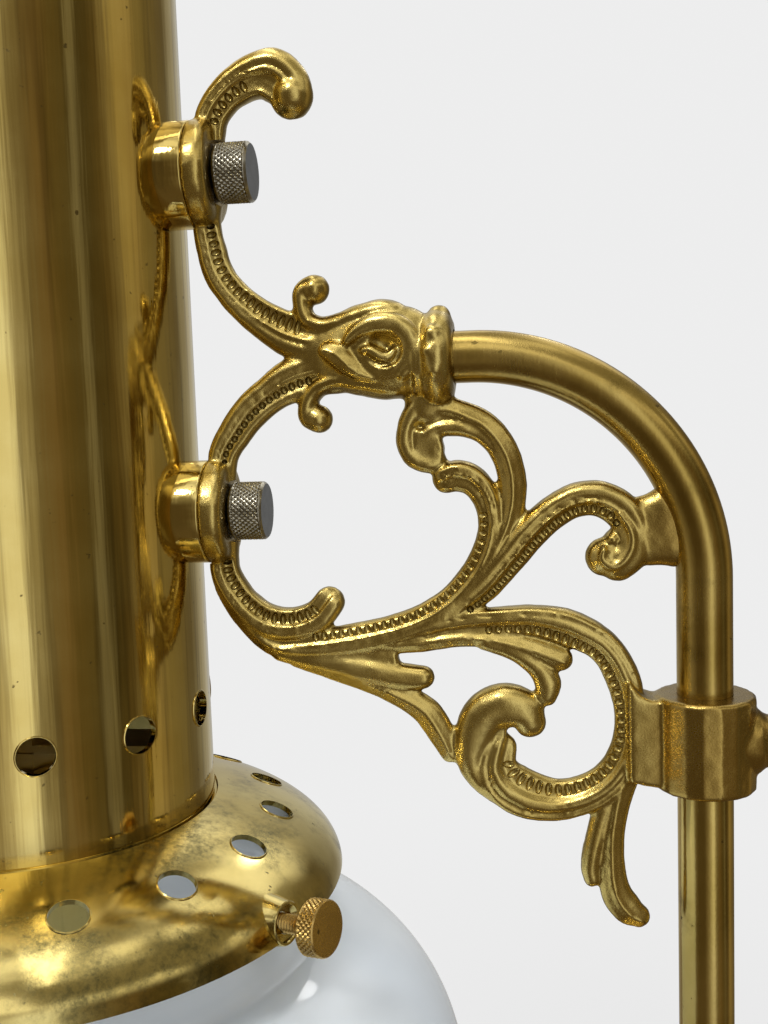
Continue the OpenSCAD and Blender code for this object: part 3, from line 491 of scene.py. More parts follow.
@dataclass(frozen=True)
class Matt:
    """A dull grained surface: felt, cast iron, moulded plastic or porcelain."""

    name: str
    light: Colour
    dark: Colour
    roughness: float
    grain_mm: float
    depth_mm: float
    coat: float = 0.0

    def material(self) -> bpy.types.Material:
        """Build the node material.

        Returns:
            The finished material.
        """
        g = Graph.material(self.name)
        where = g.place()
        cloud = g.noise(where, 16.0, 4.0)
        grain = g.noise(where, self.grain_mm, 6.0, 0.7)
        colour = g.mix((0.5 * cloud + 0.5 * grain).step(0.35, 0.65), self.dark, self.light)
        return g.principled(
            {
                "Base Color": colour,
                "Roughness": self.roughness + 0.12 * grain,
                "Normal": g.bump(grain, self.depth_mm),
                "Coat Weight": self.coat,
            }
        )


POLISHED = Brass(
    "polished_brass", (0.80, 0.635, 0.235), (0.70, 0.53, 0.17), (0.16, 0.11, 0.035), 0.05, 0.11,
    line_depth_mm=0.0035, wave_depth_mm=0.10, streak_depth_mm=0.08, streak_share=0.42, speck_share=0.015,
)
SPUN = Brass(
    "spun_brass", (0.78, 0.615, 0.225), (0.68, 0.515, 0.165), (0.16, 0.11, 0.035), 0.08, 0.12,
    line_stretch=(1.0, 1.0, 1.0), line_depth_mm=0.003, wave_depth_mm=0.10, speck_share=0.02,
)
TARNISHED = Brass(
    "tarnished_brass", (0.80, 0.655, 0.26), (0.64, 0.495, 0.16), (0.15, 0.13, 0.05), 0.06, 0.12,
    line_stretch=(1.0, 1.0, 1.0), line_depth_mm=0.004, wave_depth_mm=0.10, speck_share=0.03,
    patch_share=0.16,
)
# The casting gets painted shade on its edge-on faces and, with grime, in its corners and pits
CAST = Brass(
    "cast_brass", (0.78, 0.61, 0.21), (0.64, 0.475, 0.14), (0.085, 0.055, 0.014), 0.23, 0.10,
    line_stretch=(1.0, 1.0, 1.0), line_depth_mm=0.006, grain_mm=0.45, grain_depth_mm=0.032,
    corner_mm=1.6, worn=(0.46, 0.30, 0.075), worn_share=0.75, worn_from_mm=-12.0, side_shade_share=0.50,
)
AGED = Brass(
    "aged_brass", (0.60, 0.435, 0.130), (0.43, 0.295, 0.070), (0.10, 0.066, 0.016), 0.18, 0.12,
    line_depth_mm=0.005, wave_depth_mm=0.06, streak_depth_mm=0.04, grain_mm=0.8, grain_depth_mm=0.016,
    speck_share=0.03, patch_share=0.09,
)
DRAWN = Brass(
    "drawn_brass", (0.70, 0.525, 0.175), (0.54, 0.395, 0.110), (0.12, 0.08, 0.02), 0.12, 0.12,
    line_depth_mm=0.005, wave_depth_mm=0.06, streak_depth_mm=0.04, grain_mm=0.8, grain_depth_mm=0.016,
    speck_share=0.03, patch_share=0.05,
)
TURNED = Brass(
    "turned_brass", (0.66, 0.45, 0.15), (0.50, 0.33, 0.10), (0.07, 0.045, 0.012), 0.22, 0.14,
    line_stretch=(1.0, 1.0, 1.0), speck_share=0.04, corner_mm=0.7,
)
PLAIN = Brass(
    "plain_brass", (0.72, 0.55, 0.24), (0.60, 0.44, 0.17), (0.12, 0.09, 0.03), 0.28, 0.12, speck_share=0.03,
)
# The nickel steel's last colour is the painted reflection on the screws' flat ends
NICKEL = Steel("nickel_steel", (0.58, 0.55, 0.46), (0.34, 0.32, 0.26), 0.22, 0.60, (0.15, 0.165, 0.185))
STEEL = Steel("plain_steel", (0.55, 0.55, 0.56), (0.42, 0.42, 0.43), 0.3)
OPAL = Opal("opal_glass", (0.79, 0.845, 0.89), (0.735, 0.795, 0.85))
BULB = Clear("bulb_glass", (0.97, 0.97, 0.95), 0.95)
PORCELAIN = Matt("porcelain", (0.88, 0.86, 0.80), (0.80, 0.77, 0.70), 0.18, 0.8, 0.01, 0.5)
PLASTIC = Matt("dark_plastic", (0.035, 0.030, 0.027), (0.020, 0.017, 0.015), 0.38, 0.5, 0.02)
IRON = Matt("iron", (0.10, 0.10, 0.105), (0.05, 0.05, 0.055), 0.62, 1.2, 0.25)
FELT = Matt("felt", (0.035, 0.085, 0.050), (0.018, 0.048, 0.028), 0.92, 0.35, 0.30)
# The finishes that are named after the record's slots
FINISHES = (POLISHED, TARNISHED, CAST, PLAIN, NICKEL, STEEL, OPAL, BULB, PORCELAIN, PLASTIC, IRON, FELT)


# Modelling helpers


def head_place(x: float, z: float, y: float = 0.0) -> Vector:
    """A place in metres from millimetres off the cylinder's axis and lower edge."""
    return HEAD + Vector((x, y, z)) * MM


def turn_to(way: Vector) -> Matrix:
    """The turn that points +Z along a direction."""
    return way.to_track_quat("Z", "Y").to_matrix().to_4x4()


def deselect() -> None:
    """Deselect every object."""
    bpy.ops.object.select_all(action="DESELECT")


def active() -> bpy.types.Object:
    """The object that the last operator made."""
    return bpy.context.view_layer.objects.active


def only(obj: bpy.types.Object) -> bpy.types.Object:
    """Select one object alone and make it active.

    Args:
        obj: The object.

    Returns:
        The same object.
    """
    deselect()
    obj.select_set(True)
    bpy.context.view_layer.objects.active = obj
    return obj


def named(name: str) -> bpy.types.Object:
    """Name the active object and its mesh.

    Args:
        name: The new name.

    Returns:
        The active object.
    """
    obj = active()
    obj.name = name
    obj.data.name = name
    return obj


def settle(obj: bpy.types.Object) -> bpy.types.Object:
    """Put an object's place, turn and size into its mesh.

    Args:
        obj: The object.

    Returns:
        The same object.
    """
    only(obj)
    bpy.ops.object.transform_apply(location=True, rotation=True, scale=True)
    return obj


def twin(obj: bpy.types.Object) -> bpy.types.Object:
    """A copy of an object, with a mesh of its own.

    Args:
        obj: The object to copy.

    Returns:
        The copy.
    """
    copy = obj.copy()
    copy.data = obj.data.copy()
    bpy.context.scene.collection.objects.link(copy)
    return copy


def outward(obj: bpy.types.Object) -> bpy.types.Object:
    """Turn a closed mesh's normals outwards.

    Args:
        obj: The mesh object.

    Returns:
        The same object.
    """
    only(obj)
    bpy.ops.object.mode_set(mode="EDIT")
    bpy.ops.mesh.select_all(action="SELECT")
    bpy.ops.mesh.normals_make_consistent(inside=False)
    bpy.ops.object.mode_set(mode="OBJECT")
    return obj


def join(objs: Sequence[bpy.types.Object], name: str) -> bpy.types.Object:
    """Join several meshes into the first.

    Args:
        objs: The meshes.
        name: The joined piece's name.

    Returns:
        The joined mesh object.
    """
    only(objs[0])
    for obj in objs:
        obj.select_set(True)
    bpy.ops.object.join()
    return settle(named(name))


def modify(obj: bpy.types.Object, kind: str, **settings: Any) -> bpy.types.Object:
    """Add one modifier and apply it.

    Args:
        obj: The mesh object.
        kind: The modifier's type.
        settings: The modifier's properties.

    Returns:
        The same object.
    """
    only(obj)
    modifier = obj.modifiers.new(kind.lower(), kind)
    for key, value in settings.items():
        setattr(modifier, key, value)
    bpy.ops.object.modifier_apply(modifier=modifier.name)
    return obj


def cut(obj: bpy.types.Object, cutter: bpy.types.Object, solver: str = "EXACT") -> bpy.types.Object:
    """Cut one mesh out of another and delete the cutter.

    Args:
        obj: The mesh that is cut.
        cutter: The mesh that is taken away.
        solver: The boolean's solver.

    Returns:
        The cut mesh object.
    """
    modify(obj, "BOOLEAN", operation="DIFFERENCE", solver=solver, object=cutter)
    bpy.data.objects.remove(cutter, do_unlink=True)
    return obj


def unite(obj: bpy.types.Object, part: bpy.types.Object) -> bpy.types.Object:
    """Fuse a second mesh into the first and delete it.

    Args:
        obj: The first mesh.
        part: The mesh that joins it.

    Returns:
        The first mesh object.
    """
    modify(obj, "BOOLEAN", operation="UNION", solver="MANIFOLD", object=part)
    bpy.data.objects.remove(part, do_unlink=True)
    return obj


def smooth(obj: bpy.types.Object, angle: float = 35.0) -> bpy.types.Object:
    """Shade smooth, apart from edges sharper than an angle in degrees.

    Args:
        obj: The mesh object.
        angle: The angle past which an edge stays sharp.

    Returns:
        The same object.
    """
    only(obj)
    bpy.ops.object.shade_smooth_by_angle(angle=math.radians(angle))
    return obj


def rod(radius: float, depth: float, place: Vector, along: Vector, sides: int = 48) -> bpy.types.Object:
    """A capped round bar from a place along a direction.

    Args:
        radius: Its radius in metres.
        depth: Its length in metres.
        place: The middle of its first end.
        along: Its direction.
        sides: Its faces round.

    Returns:
        The mesh object, with its place in its mesh.
    """
    along = along.normalized()
    deselect()
    bpy.ops.mesh.primitive_cylinder_add(vertices=sides, radius=radius, depth=depth)
    obj = active()
    obj.matrix_world = Matrix.Translation(place + along * depth / 2) @ turn_to(along)
    return settle(obj)


def ball(place: Vector, size: Vector, detail: int = 24) -> bpy.types.Object:
    """A ball or egg of three half sizes in metres.

    Args:
        place: Its middle in metres.
        size: Its half sizes in metres.
        detail: Its faces round.

    Returns:
        The mesh object, with its place in its mesh.
    """
    deselect()
    bpy.ops.mesh.primitive_uv_sphere_add(
        segments=detail, ring_count=detail // 2, radius=1.0, location=place
    )
    obj = active()
    obj.scale = size
    return settle(obj)


def lathe(
    name: str,
    outline: Sequence[Point],
    place: Vector,
    along: Vector = UP,
    steps: int = 160,
    closed: bool = True,
) -> bpy.types.Object:
    """Turn an outline round an axis, as on a lathe.

    Args:
        name: The piece's name.
        outline: Radius and height of each corner in millimetres.
        place: Where the axis starts, in metres.
        along: The axis' direction.
        steps: The number of steps round.
        closed: Whether the outline runs back to its first corner.

    Returns:
        The mesh object, with its place in its mesh.
    """
    corners = [Vector((r, 0.0, z)) * MM for r, z in outline]
    if closed:
        corners.append(corners[0])
    deselect()
    bpy.ops.mesh.primitive_plane_add(size=MM)
    obj = named(name)
    bpy.ops.object.mode_set(mode="EDIT")
    bpy.ops.mesh.merge(type="CENTER")
    bpy.ops.transform.translate(value=corners[0])
    for start, end in zip(corners, corners[1:]):
        bpy.ops.mesh.extrude_region_move(TRANSFORM_OT_translate={"value": end - start})
    bpy.ops.mesh.select_all(action="SELECT")
    bpy.ops.mesh.spin(steps=steps, angle=2 * math.pi, center=(0, 0, 0), axis=(0, 0, 1))
    bpy.ops.mesh.select_all(action="SELECT")
    bpy.ops.mesh.remove_doubles(threshold=MERGE_GAP * MM)
    bpy.ops.mesh.normals_make_consistent(inside=False)
    bpy.ops.object.mode_set(mode="OBJECT")
    obj.matrix_world = Matrix.Translation(place) @ turn_to(along.normalized())
    return settle(obj)


def arc(middle: Point, radius: float, start: float, end: float, count: int) -> list[Point]:
    """Points of an arc, from one angle to another in degrees."""
    return oval(middle, radius, radius, start, end, count)


def oval(middle: Point, a: float, b: float, start: float, end: float, count: int) -> list[Point]:
    """Points of an ellipse with half axes a and b, from one angle to another in degrees."""
    angles = [math.radians(start + (end - start) * k / count) for k in range(count + 1)]
    return [(middle[0] + a * math.cos(t), middle[1] + b * math.sin(t)) for t in angles]


def wear(
    obj: bpy.types.Object,
    material: bpy.types.Material,
    body: Body,
    slot: Slot,
    *nodes: str,
) -> bpy.types.Object:
    """Dress a new piece, put it on its body and hide the solids that it stands for.

    Args:
        obj: The piece.
        material: Its finish.
        body: The body it rides on.
        slot: The record's slot of its finish; not used.
        nodes: The solids it stands for.

    Returns:
        The same piece.
    """
    obj.data.materials.clear()
    obj.data.materials.append(material)
    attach(obj, body.value)
    if nodes:
        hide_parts(*nodes)
    LOG.info("%s: %d faces on %s", obj.name, len(obj.data.polygons), body.value)
    return obj


# Scroll bracket


class Relief(Enum):
    """How a strand's face is carved, as places across it and heights, from its outer to its inner edge."""

    ROUND = tuple((-math.cos(math.radians(a)), math.sin(math.radians(a)) ** 0.8) for a in range(0, 181, 9))
    KEELED = (
        (-1.0, 0.0), (-0.98, 0.24), (-0.91, 0.44), (-0.76, 0.60), (-0.55, 0.70), (-0.32, 0.78),
        (-0.16, 0.88), (-0.06, 0.98), (0.0, 1.0), (0.06, 0.97), (0.16, 0.86), (0.32, 0.76),
        (0.55, 0.68), (0.76, 0.58), (0.91, 0.42), (0.98, 0.22), (1.0, 0.0),
    )
    SHELF = (
        (-1.0, 0.0), (-0.99, 0.24), (-0.95, 0.44), (-0.87, 0.64), (-0.75, 0.82), (-0.60, 0.94),
        (-0.45, 0.98), (-0.33, 0.94), (-0.26, 0.84), (-0.22, 0.77), (-0.18, 0.82), (-0.12, 0.96),
        (-0.06, 1.0), (0.0, 0.94), (0.05, 0.78), (0.10, 0.66), (0.20, 0.63), (0.45, 0.63),
        (0.68, 0.61), (0.76, 0.66), (0.83, 0.71), (0.90, 0.66), (0.95, 0.48), (0.99, 0.24), (1.0, 0.0),
    )
    RAIL = (
        (-1.0, 0.0), (-0.99, 0.24), (-0.95, 0.44), (-0.87, 0.64), (-0.75, 0.82), (-0.60, 0.94),
        (-0.45, 0.98), (-0.30, 0.94), (-0.21, 0.82), (-0.16, 0.75), (-0.11, 0.83), (-0.05, 0.97),
        (0.0, 0.96), (0.05, 0.80), (0.10, 0.67), (0.20, 0.64), (0.40, 0.64), (0.48, 0.70),
        (0.58, 0.80), (0.70, 0.79), (0.82, 0.68), (0.92, 0.48), (0.98, 0.24), (1.0, 0.0),
    )
    BEADED = (
        (-1.0, 0.0), (-0.99, 0.26), (-0.94, 0.50), (-0.85, 0.72), (-0.73, 0.88), (-0.58, 0.95),
        (-0.45, 0.90), (-0.37, 0.83), (-0.33, 0.79), (-0.29, 0.83), (-0.22, 0.95), (-0.16, 1.0),
        (-0.10, 0.94), (-0.05, 0.78), (0.0, 0.68), (0.10, 0.70), (0.30, 0.76), (0.50, 0.75),
        (0.70, 0.67), (0.85, 0.52), (0.95, 0.30), (1.0, 0.0),
    )
    LOOPED = (
        (-1.0, 0.0), (-0.99, 0.30), (-0.95, 0.55), (-0.88, 0.76), (-0.79, 0.90), (-0.70, 0.94),
        (-0.62, 0.88), (-0.56, 0.80), (-0.52, 0.76), (-0.48, 0.80), (-0.40, 0.91), (-0.28, 1.0),
        (-0.12, 1.0), (0.02, 0.92), (0.12, 0.78), (0.19, 0.64), (0.24, 0.57), (0.32, 0.56),
        (0.60, 0.57), (0.80, 0.53), (0.90, 0.44), (0.97, 0.26), (1.0, 0.0),
    )
    BRANCHED = (
        (-1.0, 0.0), (-0.99, 0.26), (-0.95, 0.48), (-0.87, 0.68), (-0.75, 0.84), (-0.60, 0.94),
        (-0.42, 0.98), (-0.24, 0.94), (-0.12, 0.82), (-0.06, 0.74), (-0.01, 0.80), (0.05, 0.94),
        (0.11, 1.0), (0.17, 0.94), (0.22, 0.76), (0.27, 0.64), (0.36, 0.62), (0.60, 0.62),
        (0.78, 0.58), (0.90, 0.46), (0.97, 0.26), (1.0, 0.0),
    )


@dataclass(frozen=True)
class Pits:
    """A row of oval pits along a strand.

    Its start and end are shares of the strand's length, its place across and a pit's half width are
    shares of the strand's half width, and its pitch is in millimetres.
    """

    start: float
    end: float
    across: float
    wide: float
    pitch: float = 2.05


@dataclass(frozen=True)
class Strand:
    """One strand of the scroll, drawn in millimetres from the cylinder's axis and lower edge.

    A drawn point is x, z and half width. The strand is as deep as depth at its end, and at its start
    by a share of that.
    """

    line: tuple[LinePoint, ...]
    depth: float
    relief: Relief = Relief.ROUND
    inner: int = 1
    pits: Optional[Pits] = None
    start_depth: float = 1.0
    front: float = 0.0

    def samples(self, step: float = 0.7) -> np.ndarray:
        """A smooth even line through the drawn points: x, z and half width in millimetres.

        Args:
            step: The distance between points in millimetres.

        Returns:
            One row for each point.
        """
        p = np.array(self.line, float)
        padded = np.vstack([p[:1], p, p[-1:]])
        fine = []
        for i in range(len(p) - 1):
            a, b, c, d = padded[i : i + 4]
            for t in np.linspace(0.0, 1.0, 40, endpoint=False):
                square = (2 * a - 5 * b + 4 * c - d) * t**2
                cube = (3 * b - a - 3 * c + d) * t**3
                bent = 2 * b + (c - a) * t + square + cube
                fine.append(bent / 2)
        fine = np.array(fine + [p[-1]])
        run = np.concatenate([[0.0], np.cumsum(np.linalg.norm(np.diff(fine[:, :2], axis=0), axis=1))])
        even = np.linspace(0.0, run[-1], max(10, int(run[-1] / step)))
        return np.stack([np.interp(even, run, fine[:, k]) for k in range(3)], axis=1)

    def half_depths(self, line: np.ndarray) -> np.ndarray:
        """Half depth of the strand at each point of its line."""
        along = np.linspace(self.start_depth, 1.0, len(line))
        return self.depth * along * (0.45 + 0.55 * line[:, 2] / line[:, 2].max())

    def height_at(self, across: float) -> float:
        """Height of the carved face at a place across the strand."""
        places, heights = zip(*self.relief.value)
        return float(np.interp(across, places, heights))

    def across(self, line: np.ndarray) -> np.ndarray:
        """The direction across the strand at each point, towards its inner edge.

        Args:
            line: The strand's points.

        Returns:
            One direction for each point.
        """
        run = np.gradient(line[:, :2], axis=0)
        run /= np.linalg.norm(run, axis=1, keepdims=True)
        return np.stack([-run[:, 1], run[:, 0]], axis=1) * self.inner

    def mesh(self, name: str) -> bpy.types.Object:
        """Sweep the carved section along the line, with rounded ends.

        Args:
            name: The mesh's name.

        Returns:
            The closed mesh object.
        """
        line = self.samples()
        side = self.across(line)
        deep = self.half_depths(line)
        round_steps = 6
        rings = [(line[i, :2], side[i], line[i, 2], deep[i]) for i in range(len(line))]
        for end, toward in ((0, -1), (len(line) - 1, 1)):
            ahead = np.array([side[end][1], -side[end][0]]) * self.inner * toward
            caps = []
            for k in range(1, round_steps + 1):
                a = 0.5 * math.pi * k / (round_steps + 0.3)
                reach = line[end, :2] + ahead * line[end, 2] * math.sin(a)
                caps.append((reach, side[end], line[end, 2] * math.cos(a), deep[end] * math.cos(a)))
            rings = caps[::-1] + rings if toward < 0 else rings + caps
        front = [(t, -h) for t, h in self.relief.value]
        section = front + [(t, -h) for t, h in front[-2:0:-1]]
        count = len(section)
        points = []
        for place, out, width, depth in rings:
            for t, h in section:
                x, z = place + out * width * t
                points.append(head_place(x, z, h * depth + self.front))
        faces = [tuple(range(count))]
        for i in range(len(rings) - 1):
            for k in range(count):
                n = (k + 1) % count
                faces.append((i * count + k, (i + 1) * count + k, (i + 1) * count + n, i * count + n))
        faces.append(tuple((len(rings) - 1) * count + k for k in reversed(range(count))))
        return shell(name, points, faces)

    def pit_frames(self, sink: float = 0.10, deep: float = 0.88, fill: float = 0.42) -> list[Matrix]:
        """Place, turn and half sizes of each pit on both faces.

        Args:
            sink: How far a pit's middle lies outside the face in millimetres.
            deep: A pit's half size into the face in millimetres.
            fill: A pit's half length along the strand, as a share of the pitch.

        Returns:
            A matrix for each pit that turns a ball of radius 1 into it.
        """
        if not self.pits:
            return []
        line = self.samples()
        side = self.across(line)
        path = line[:, :2] + side * line[:, 2:3] * self.pits.across
        run = np.concatenate([[0.0], np.cumsum(np.linalg.norm(np.diff(path, axis=0), axis=1))])
        face_y = self.half_depths(line) * self.height_at(self.pits.across) + sink
        rows = (path[:, 0], path[:, 1], face_y, side[:, 0], side[:, 1], line[:, 2] * self.pits.wide)
        frames = []
        for s in np.arange(self.pits.start * run[-1], self.pits.end * run[-1], self.pits.pitch):
            x, z, y, side_x, side_z, wide = (float(np.interp(s, run, v)) for v in rows)
            size = Matrix.Diagonal((wide * MM, deep * MM, fill * self.pits.pitch * MM, 1.0))
            turn = Matrix.Rotation(-math.atan2(side_z, side_x), 4, "Y")
            for face in (-1, 1):
                frames.append(Matrix.Translation(head_place(x, z, face * y)) @ turn @ size)
        return frames


def shell(name: str, points: Sequence[Vector], faces: Sequence[Sequence[int]]) -> bpy.types.Object:
    """A mesh object from corners and faces, with its normals turned outwards.

    Args:
        name: The mesh's name.
        points: Its corners in metres.
        faces: The corners of each face.

    Returns:
        The mesh object.
    """
    mesh = bpy.data.meshes.new(name)
    mesh.from_pydata(points, [], faces)
    obj = bpy.data.objects.new(name, mesh)
    bpy.context.scene.collection.objects.link(obj)
    return outward(obj)


def slab(name: str, outline: Sequence[Point], depth: float, edge: float) -> bpy.types.Object:
    """A flat web in the scroll's plane with rounded edges.

    Args:
        name: The mesh's name.
        outline: Corners x and z in millimetres.
        depth: Half depth in millimetres.
        edge: Radius of its edges in millimetres.

    Returns:
        The closed mesh object.
    """
    count = len(outline)
    points = [head_place(x, z, y) for y in (-depth, depth) for x, z in outline]
    faces = [tuple(range(count)), tuple(range(2 * count - 1, count - 1, -1))]
    faces += [(k, (k + 1) % count, count + (k + 1) % count, count + k) for k in range(count)]
    obj = shell(name, points, faces)
    return modify(obj, "BEVEL", width=edge * MM, segments=4, limit_method="NONE")


@dataclass
class ScrollBracket:
    """The cast bracket: carved strands, curls, ears, ring, webs, collar and stub.

    Sizes are in millimetres, and places count from the cylinder's axis and lower edge.
    """

    ear_r: float = 12.0
    ear_x: float = 49.05
    ear_t: float = 5.0
    ear_zs: Point = EAR_ZS
    arm_z: float = ARM_Z
    post_x: float = REACH
    post_r: float = TUBE_R
    collar_r: float = 11.25
    collar_z: float = 5.5
    collar_h: float = 21.5
    collar_flats: int = 18
    socket_x: float = 97.5
    screw_bore_r: float = 3.05
    knob_room_r: float = 7.4
    knob_room_l: float = 9.0
    boss_room_r: float = 12.3
    boss_room_l: float = 9.05
    boss_room_x: float = 40.0
    bore_gap: float = 0.03
    eye: LinePoint = (91.5, 106.2, 9.2)
    eye_half: LinePoint = (4.8, 4.4, 4.3)
    crease: float = 42.0
    grid: float = 0.5
    rounding: int = 4
    lump_size: float = 3.2
    lump_height: float = 0.24
    kept_share: float = 0.66

    def strands(self) -> dict[str, Strand]:
        """The strands by name.

        Returns:
            Each strand under its name.
        """
        return {
            "top_leaf": Strand(
                ((52.5, 153, 3.4), (53.3, 159.5, 3.7), (55.8, 163.4, 3.9), (59.3, 166.3, 4.3),
                 (63.7, 168.2, 4.9), (68, 168.3, 5.8), (71.2, 165.5, 5.4), (72, 163.1, 4.8)),
                4.0, Relief.SHELF, -1, Pits(0.22, 0.66, 0.40, 0.32)),
            "upper_c": Strand(
                ((52, 143, 3.2), (51.2, 136, 3.2), (52, 130.6, 3.4), (53.3, 125.5, 3.5),
                 (56.2, 120.9, 3.6), (60.2, 116.8, 4.0), (64.6, 113.5, 4.5), (69.8, 110.6, 5.2),
                 (76, 109, 5.5), (82, 108, 5.5)),
                3.5, Relief.SHELF, 1, Pits(0.10, 0.80, 0.36, 0.40)),
            "lower_c": Strand(
                ((52.2, 74.5, 2.9), (52.4, 83.1, 3.5), (55.4, 88.4, 3.9), (59.4, 93.4, 4.2),
                 (64.6, 97.5, 4.4), (70.3, 100.5, 5.2), (77, 101.8, 5.1), (84, 102, 5.0)),
                3.4, Relief.RAIL, -1, Pits(0.16, 0.78, 0.26, 0.22)),
            "socket_head": Strand(
                ((76, 106.4, 6.4), (81, 106.3, 8.9), (87, 106.1, 10.2), (91, 106, 10.9),
                 (94, 105.8, 10.6)),
                8.6, start_depth=0.55),
            "upper_curl": Strand(
                ((94.2, 115.1, 1.9), (91, 115.4, 2.4), (85.5, 114.2, 2.5), (81, 112.8, 2.3),
                 (77, 112.3, 2.2), (73.8, 113.8, 2.1), (72.6, 117, 2.1), (72.9, 120.2, 2.3),
                 (75.4, 121.2, 2.8)),
                3.1, start_depth=2.0),
            "lower_curl": Strand(
                ((94.2, 97.4, 1.9), (91, 98.0, 2.3), (85.5, 99.2, 2.4), (80.5, 100, 2.3),
                 (76, 98.6, 2.1), (73.2, 95.3, 2.1), (73, 91.9, 2.3), (75.3, 90.8, 2.8)),
                3.0, start_depth=2.35),
            "inner_leaf": Strand(
                ((52.3, 66, 3.2), (51.5, 57.5, 3.4), (53.5, 52.2, 3.5), (56.8, 47.9, 3.6),
                 (61.5, 44.4, 3.9), (67.5, 43.6, 3.9), (73.1, 45.4, 3.8), (76.2, 48.8, 3.6)),
                3.6, Relief.SHELF, 1, Pits(0.18, 0.96, 0.36, 0.40)),
            "spine": Strand(
                ((51, 62, 2.6), (50.9, 54.5, 2.4), (53.2, 48.7, 2.3), (56.9, 43.5, 2.4),
                 (61.6, 39.2, 2.6), (68, 37.5, 2.9), (77, 37.6, 2.9), (86, 39, 2.9), (95, 41.4, 2.8),
                 (103, 45, 2.6)),
                3.3, Relief.KEELED),
            "beaded_sweep": Strand(
                ((66, 38.8, 2.4), (74, 39.6, 2.8), (82.2, 40.8, 2.9), (90.3, 42.5, 2.9),
                 (97.7, 45, 2.9), (104.1, 48.9, 2.9), (109.2, 54.3, 2.9), (112.7, 60.5, 2.9),
                 (114, 66.9, 2.8), (113, 72.5, 3.2), (110.3, 76.2, 3.5), (107, 77.4, 3.7),
                 (104.4, 76.8, 3.3)),
                3.7, Relief.BEADED, 1, Pits(0.10, 0.84, 0.52, 0.46)),
            "outer_sweep": Strand(
                ((100, 45, 2.6), (106, 49.3, 2.8), (111.6, 55.3, 2.9), (115.9, 61.9, 3.0),
                 (118.6, 69, 3.1), (119.2, 76, 3.2), (117.5, 82.8, 3.3), (113.4, 88.4, 3.3),
                 (107.2, 91.6, 3.2), (100.9, 93.3, 3.2)),
                3.45, Relief.KEELED),
            "volute_band": Strand(
                ((99, 94.5, 2.4), (96.9, 91.6, 2.3), (95.6, 88.6, 2.2), (95.3, 85.4, 2.2),
                 (96.4, 82.4, 2.2), (98.8, 80.7, 2.2), (101.4, 80.4, 2.0), (103, 81.4, 1.5)),
                3.3),
            "volute_rise": Strand(
                ((115, 83.6, 1.5), (112.4, 86.5, 1.8), (109.6, 88, 2.1), (106.4, 88.6, 2.2),
                 (103.2, 88.5, 2.1), (100.7, 87.5, 1.9), (99.6, 85.8, 1.6), (100.3, 84.2, 1.4)),
                3.1),
            "arm_branch": Strand(
                ((101, 43.5, 2.4), (107, 47.4, 2.8), (112.8, 52.2, 3.4), (118.1, 58.2, 3.6),
                 (123.1, 64.1, 3.8), (128.2, 68.7, 3.8), (133.5, 71.4, 3.9), (139, 71.4, 4.1),
                 (143.4, 68.6, 4.2), (145.6, 65, 4.0)),
                3.8, Relief.BRANCHED, -1, Pits(0.16, 0.98, 0.55, 0.30)),
            "branch_end": Strand(
                ((144.6, 67, 3.6), (146, 62.9, 4.0), (145, 59.2, 4.2), (142.2, 57, 4.2)), 3.7),
            "arm_pad": Strand(
                ((149.6, 64.3, 8.1), (151.4, 64.6, 8.6), (153, 64.9, 9.3)), 3.5),
            "lower_loop": Strand(
                ((90, 39.5, 2.4), (98, 41.6, 2.7), (107, 43.4, 3.0), (116, 44.1, 3.1), (124, 44, 3.5),
                 (131.7, 42, 4.2), (139, 37.7, 3.8), (143.1, 30.5, 3.9), (144.5, 23, 3.5),
                 (144.3, 16.5, 3.6), (142.4, 10.8, 3.9), (138.7, 6.2, 4.1), (133.5, 3.2, 4.4),
                 (127.5, 2, 4.8), (121, 3.2, 5.6), (116.2, 6.2, 5.5), (114.4, 10.2, 4.5),
                 (115.2, 14.2, 3.7)),
                3.9, Relief.LOOPED, -1, Pits(0.22, 0.985, 0.60, 0.36, 2.2)),
            "loop_head": Strand(
                ((118, 0.6, 1.6), (112.6, 4, 2.2), (109, 8.6, 3.0), (108.2, 13, 3.8),
                 (109.2, 17.2, 4.5), (110.6, 20.8, 4.9), (113.4, 23.4, 5.0), (117, 24.2, 5.1),
                 (120.6, 22.9, 4.7), (122, 20.4, 3.7)),
                4.3),
            "first_lobe": Strand(
                ((88, 38.4, 2.2), (98, 39.3, 2.5), (106, 40.3, 2.4), (113.5, 39.8, 2.2),
                 (120, 38.2, 2.5), (126, 36.2, 2.9), (129.4, 35, 2.7)), 3.0, Relief.KEELED),
            "second_lobe": Strand(
                ((112, 39.2, 2.0), (118.7, 36.9, 2.2), (123.6, 33.4, 2.5), (126.2, 29.6, 3.1),
                 (125.8, 26.6, 2.6)),
                2.9),
            "blunt_leaf": Strand(
                ((64, 37, 2.2), (72, 35.2, 2.7), (80, 33.6, 3.4), (87, 32, 3.4), (93, 31, 3.1),
                 (97.6, 30.8, 2.7)),
                3.2),
            "pointed_leaf": Strand(
                ((68, 35, 1.9), (77, 32, 2.0), (85.5, 29.2, 2.3), (92.3, 26.4, 2.8), (98, 22.8, 3.3),
                 (101.4, 17.6, 3.2), (103.5, 13, 2.5)), 3.0, Relief.KEELED),
            "long_tail": Strand(
                ((146, 15, 2.4), (144, 9, 3.0), (141.6, 2.4, 3.2), (140.4, -4, 3.0), (140, -10, 3.0),
                 (140.2, -16, 3.2), (141.2, -20.6, 3.6), (143.6, -24, 3.6), (146, -25.6, 2.7)),
                3.2, Relief.KEELED),
            "short_tail": Strand(
                ((139.8, 4, 2.5), (137.6, -2.6, 2.3), (136.1, -8.5, 2.3), (135.2, -13.5, 2.2),
                 (135.5, -16.8, 1.9)),
                2.7),
        }

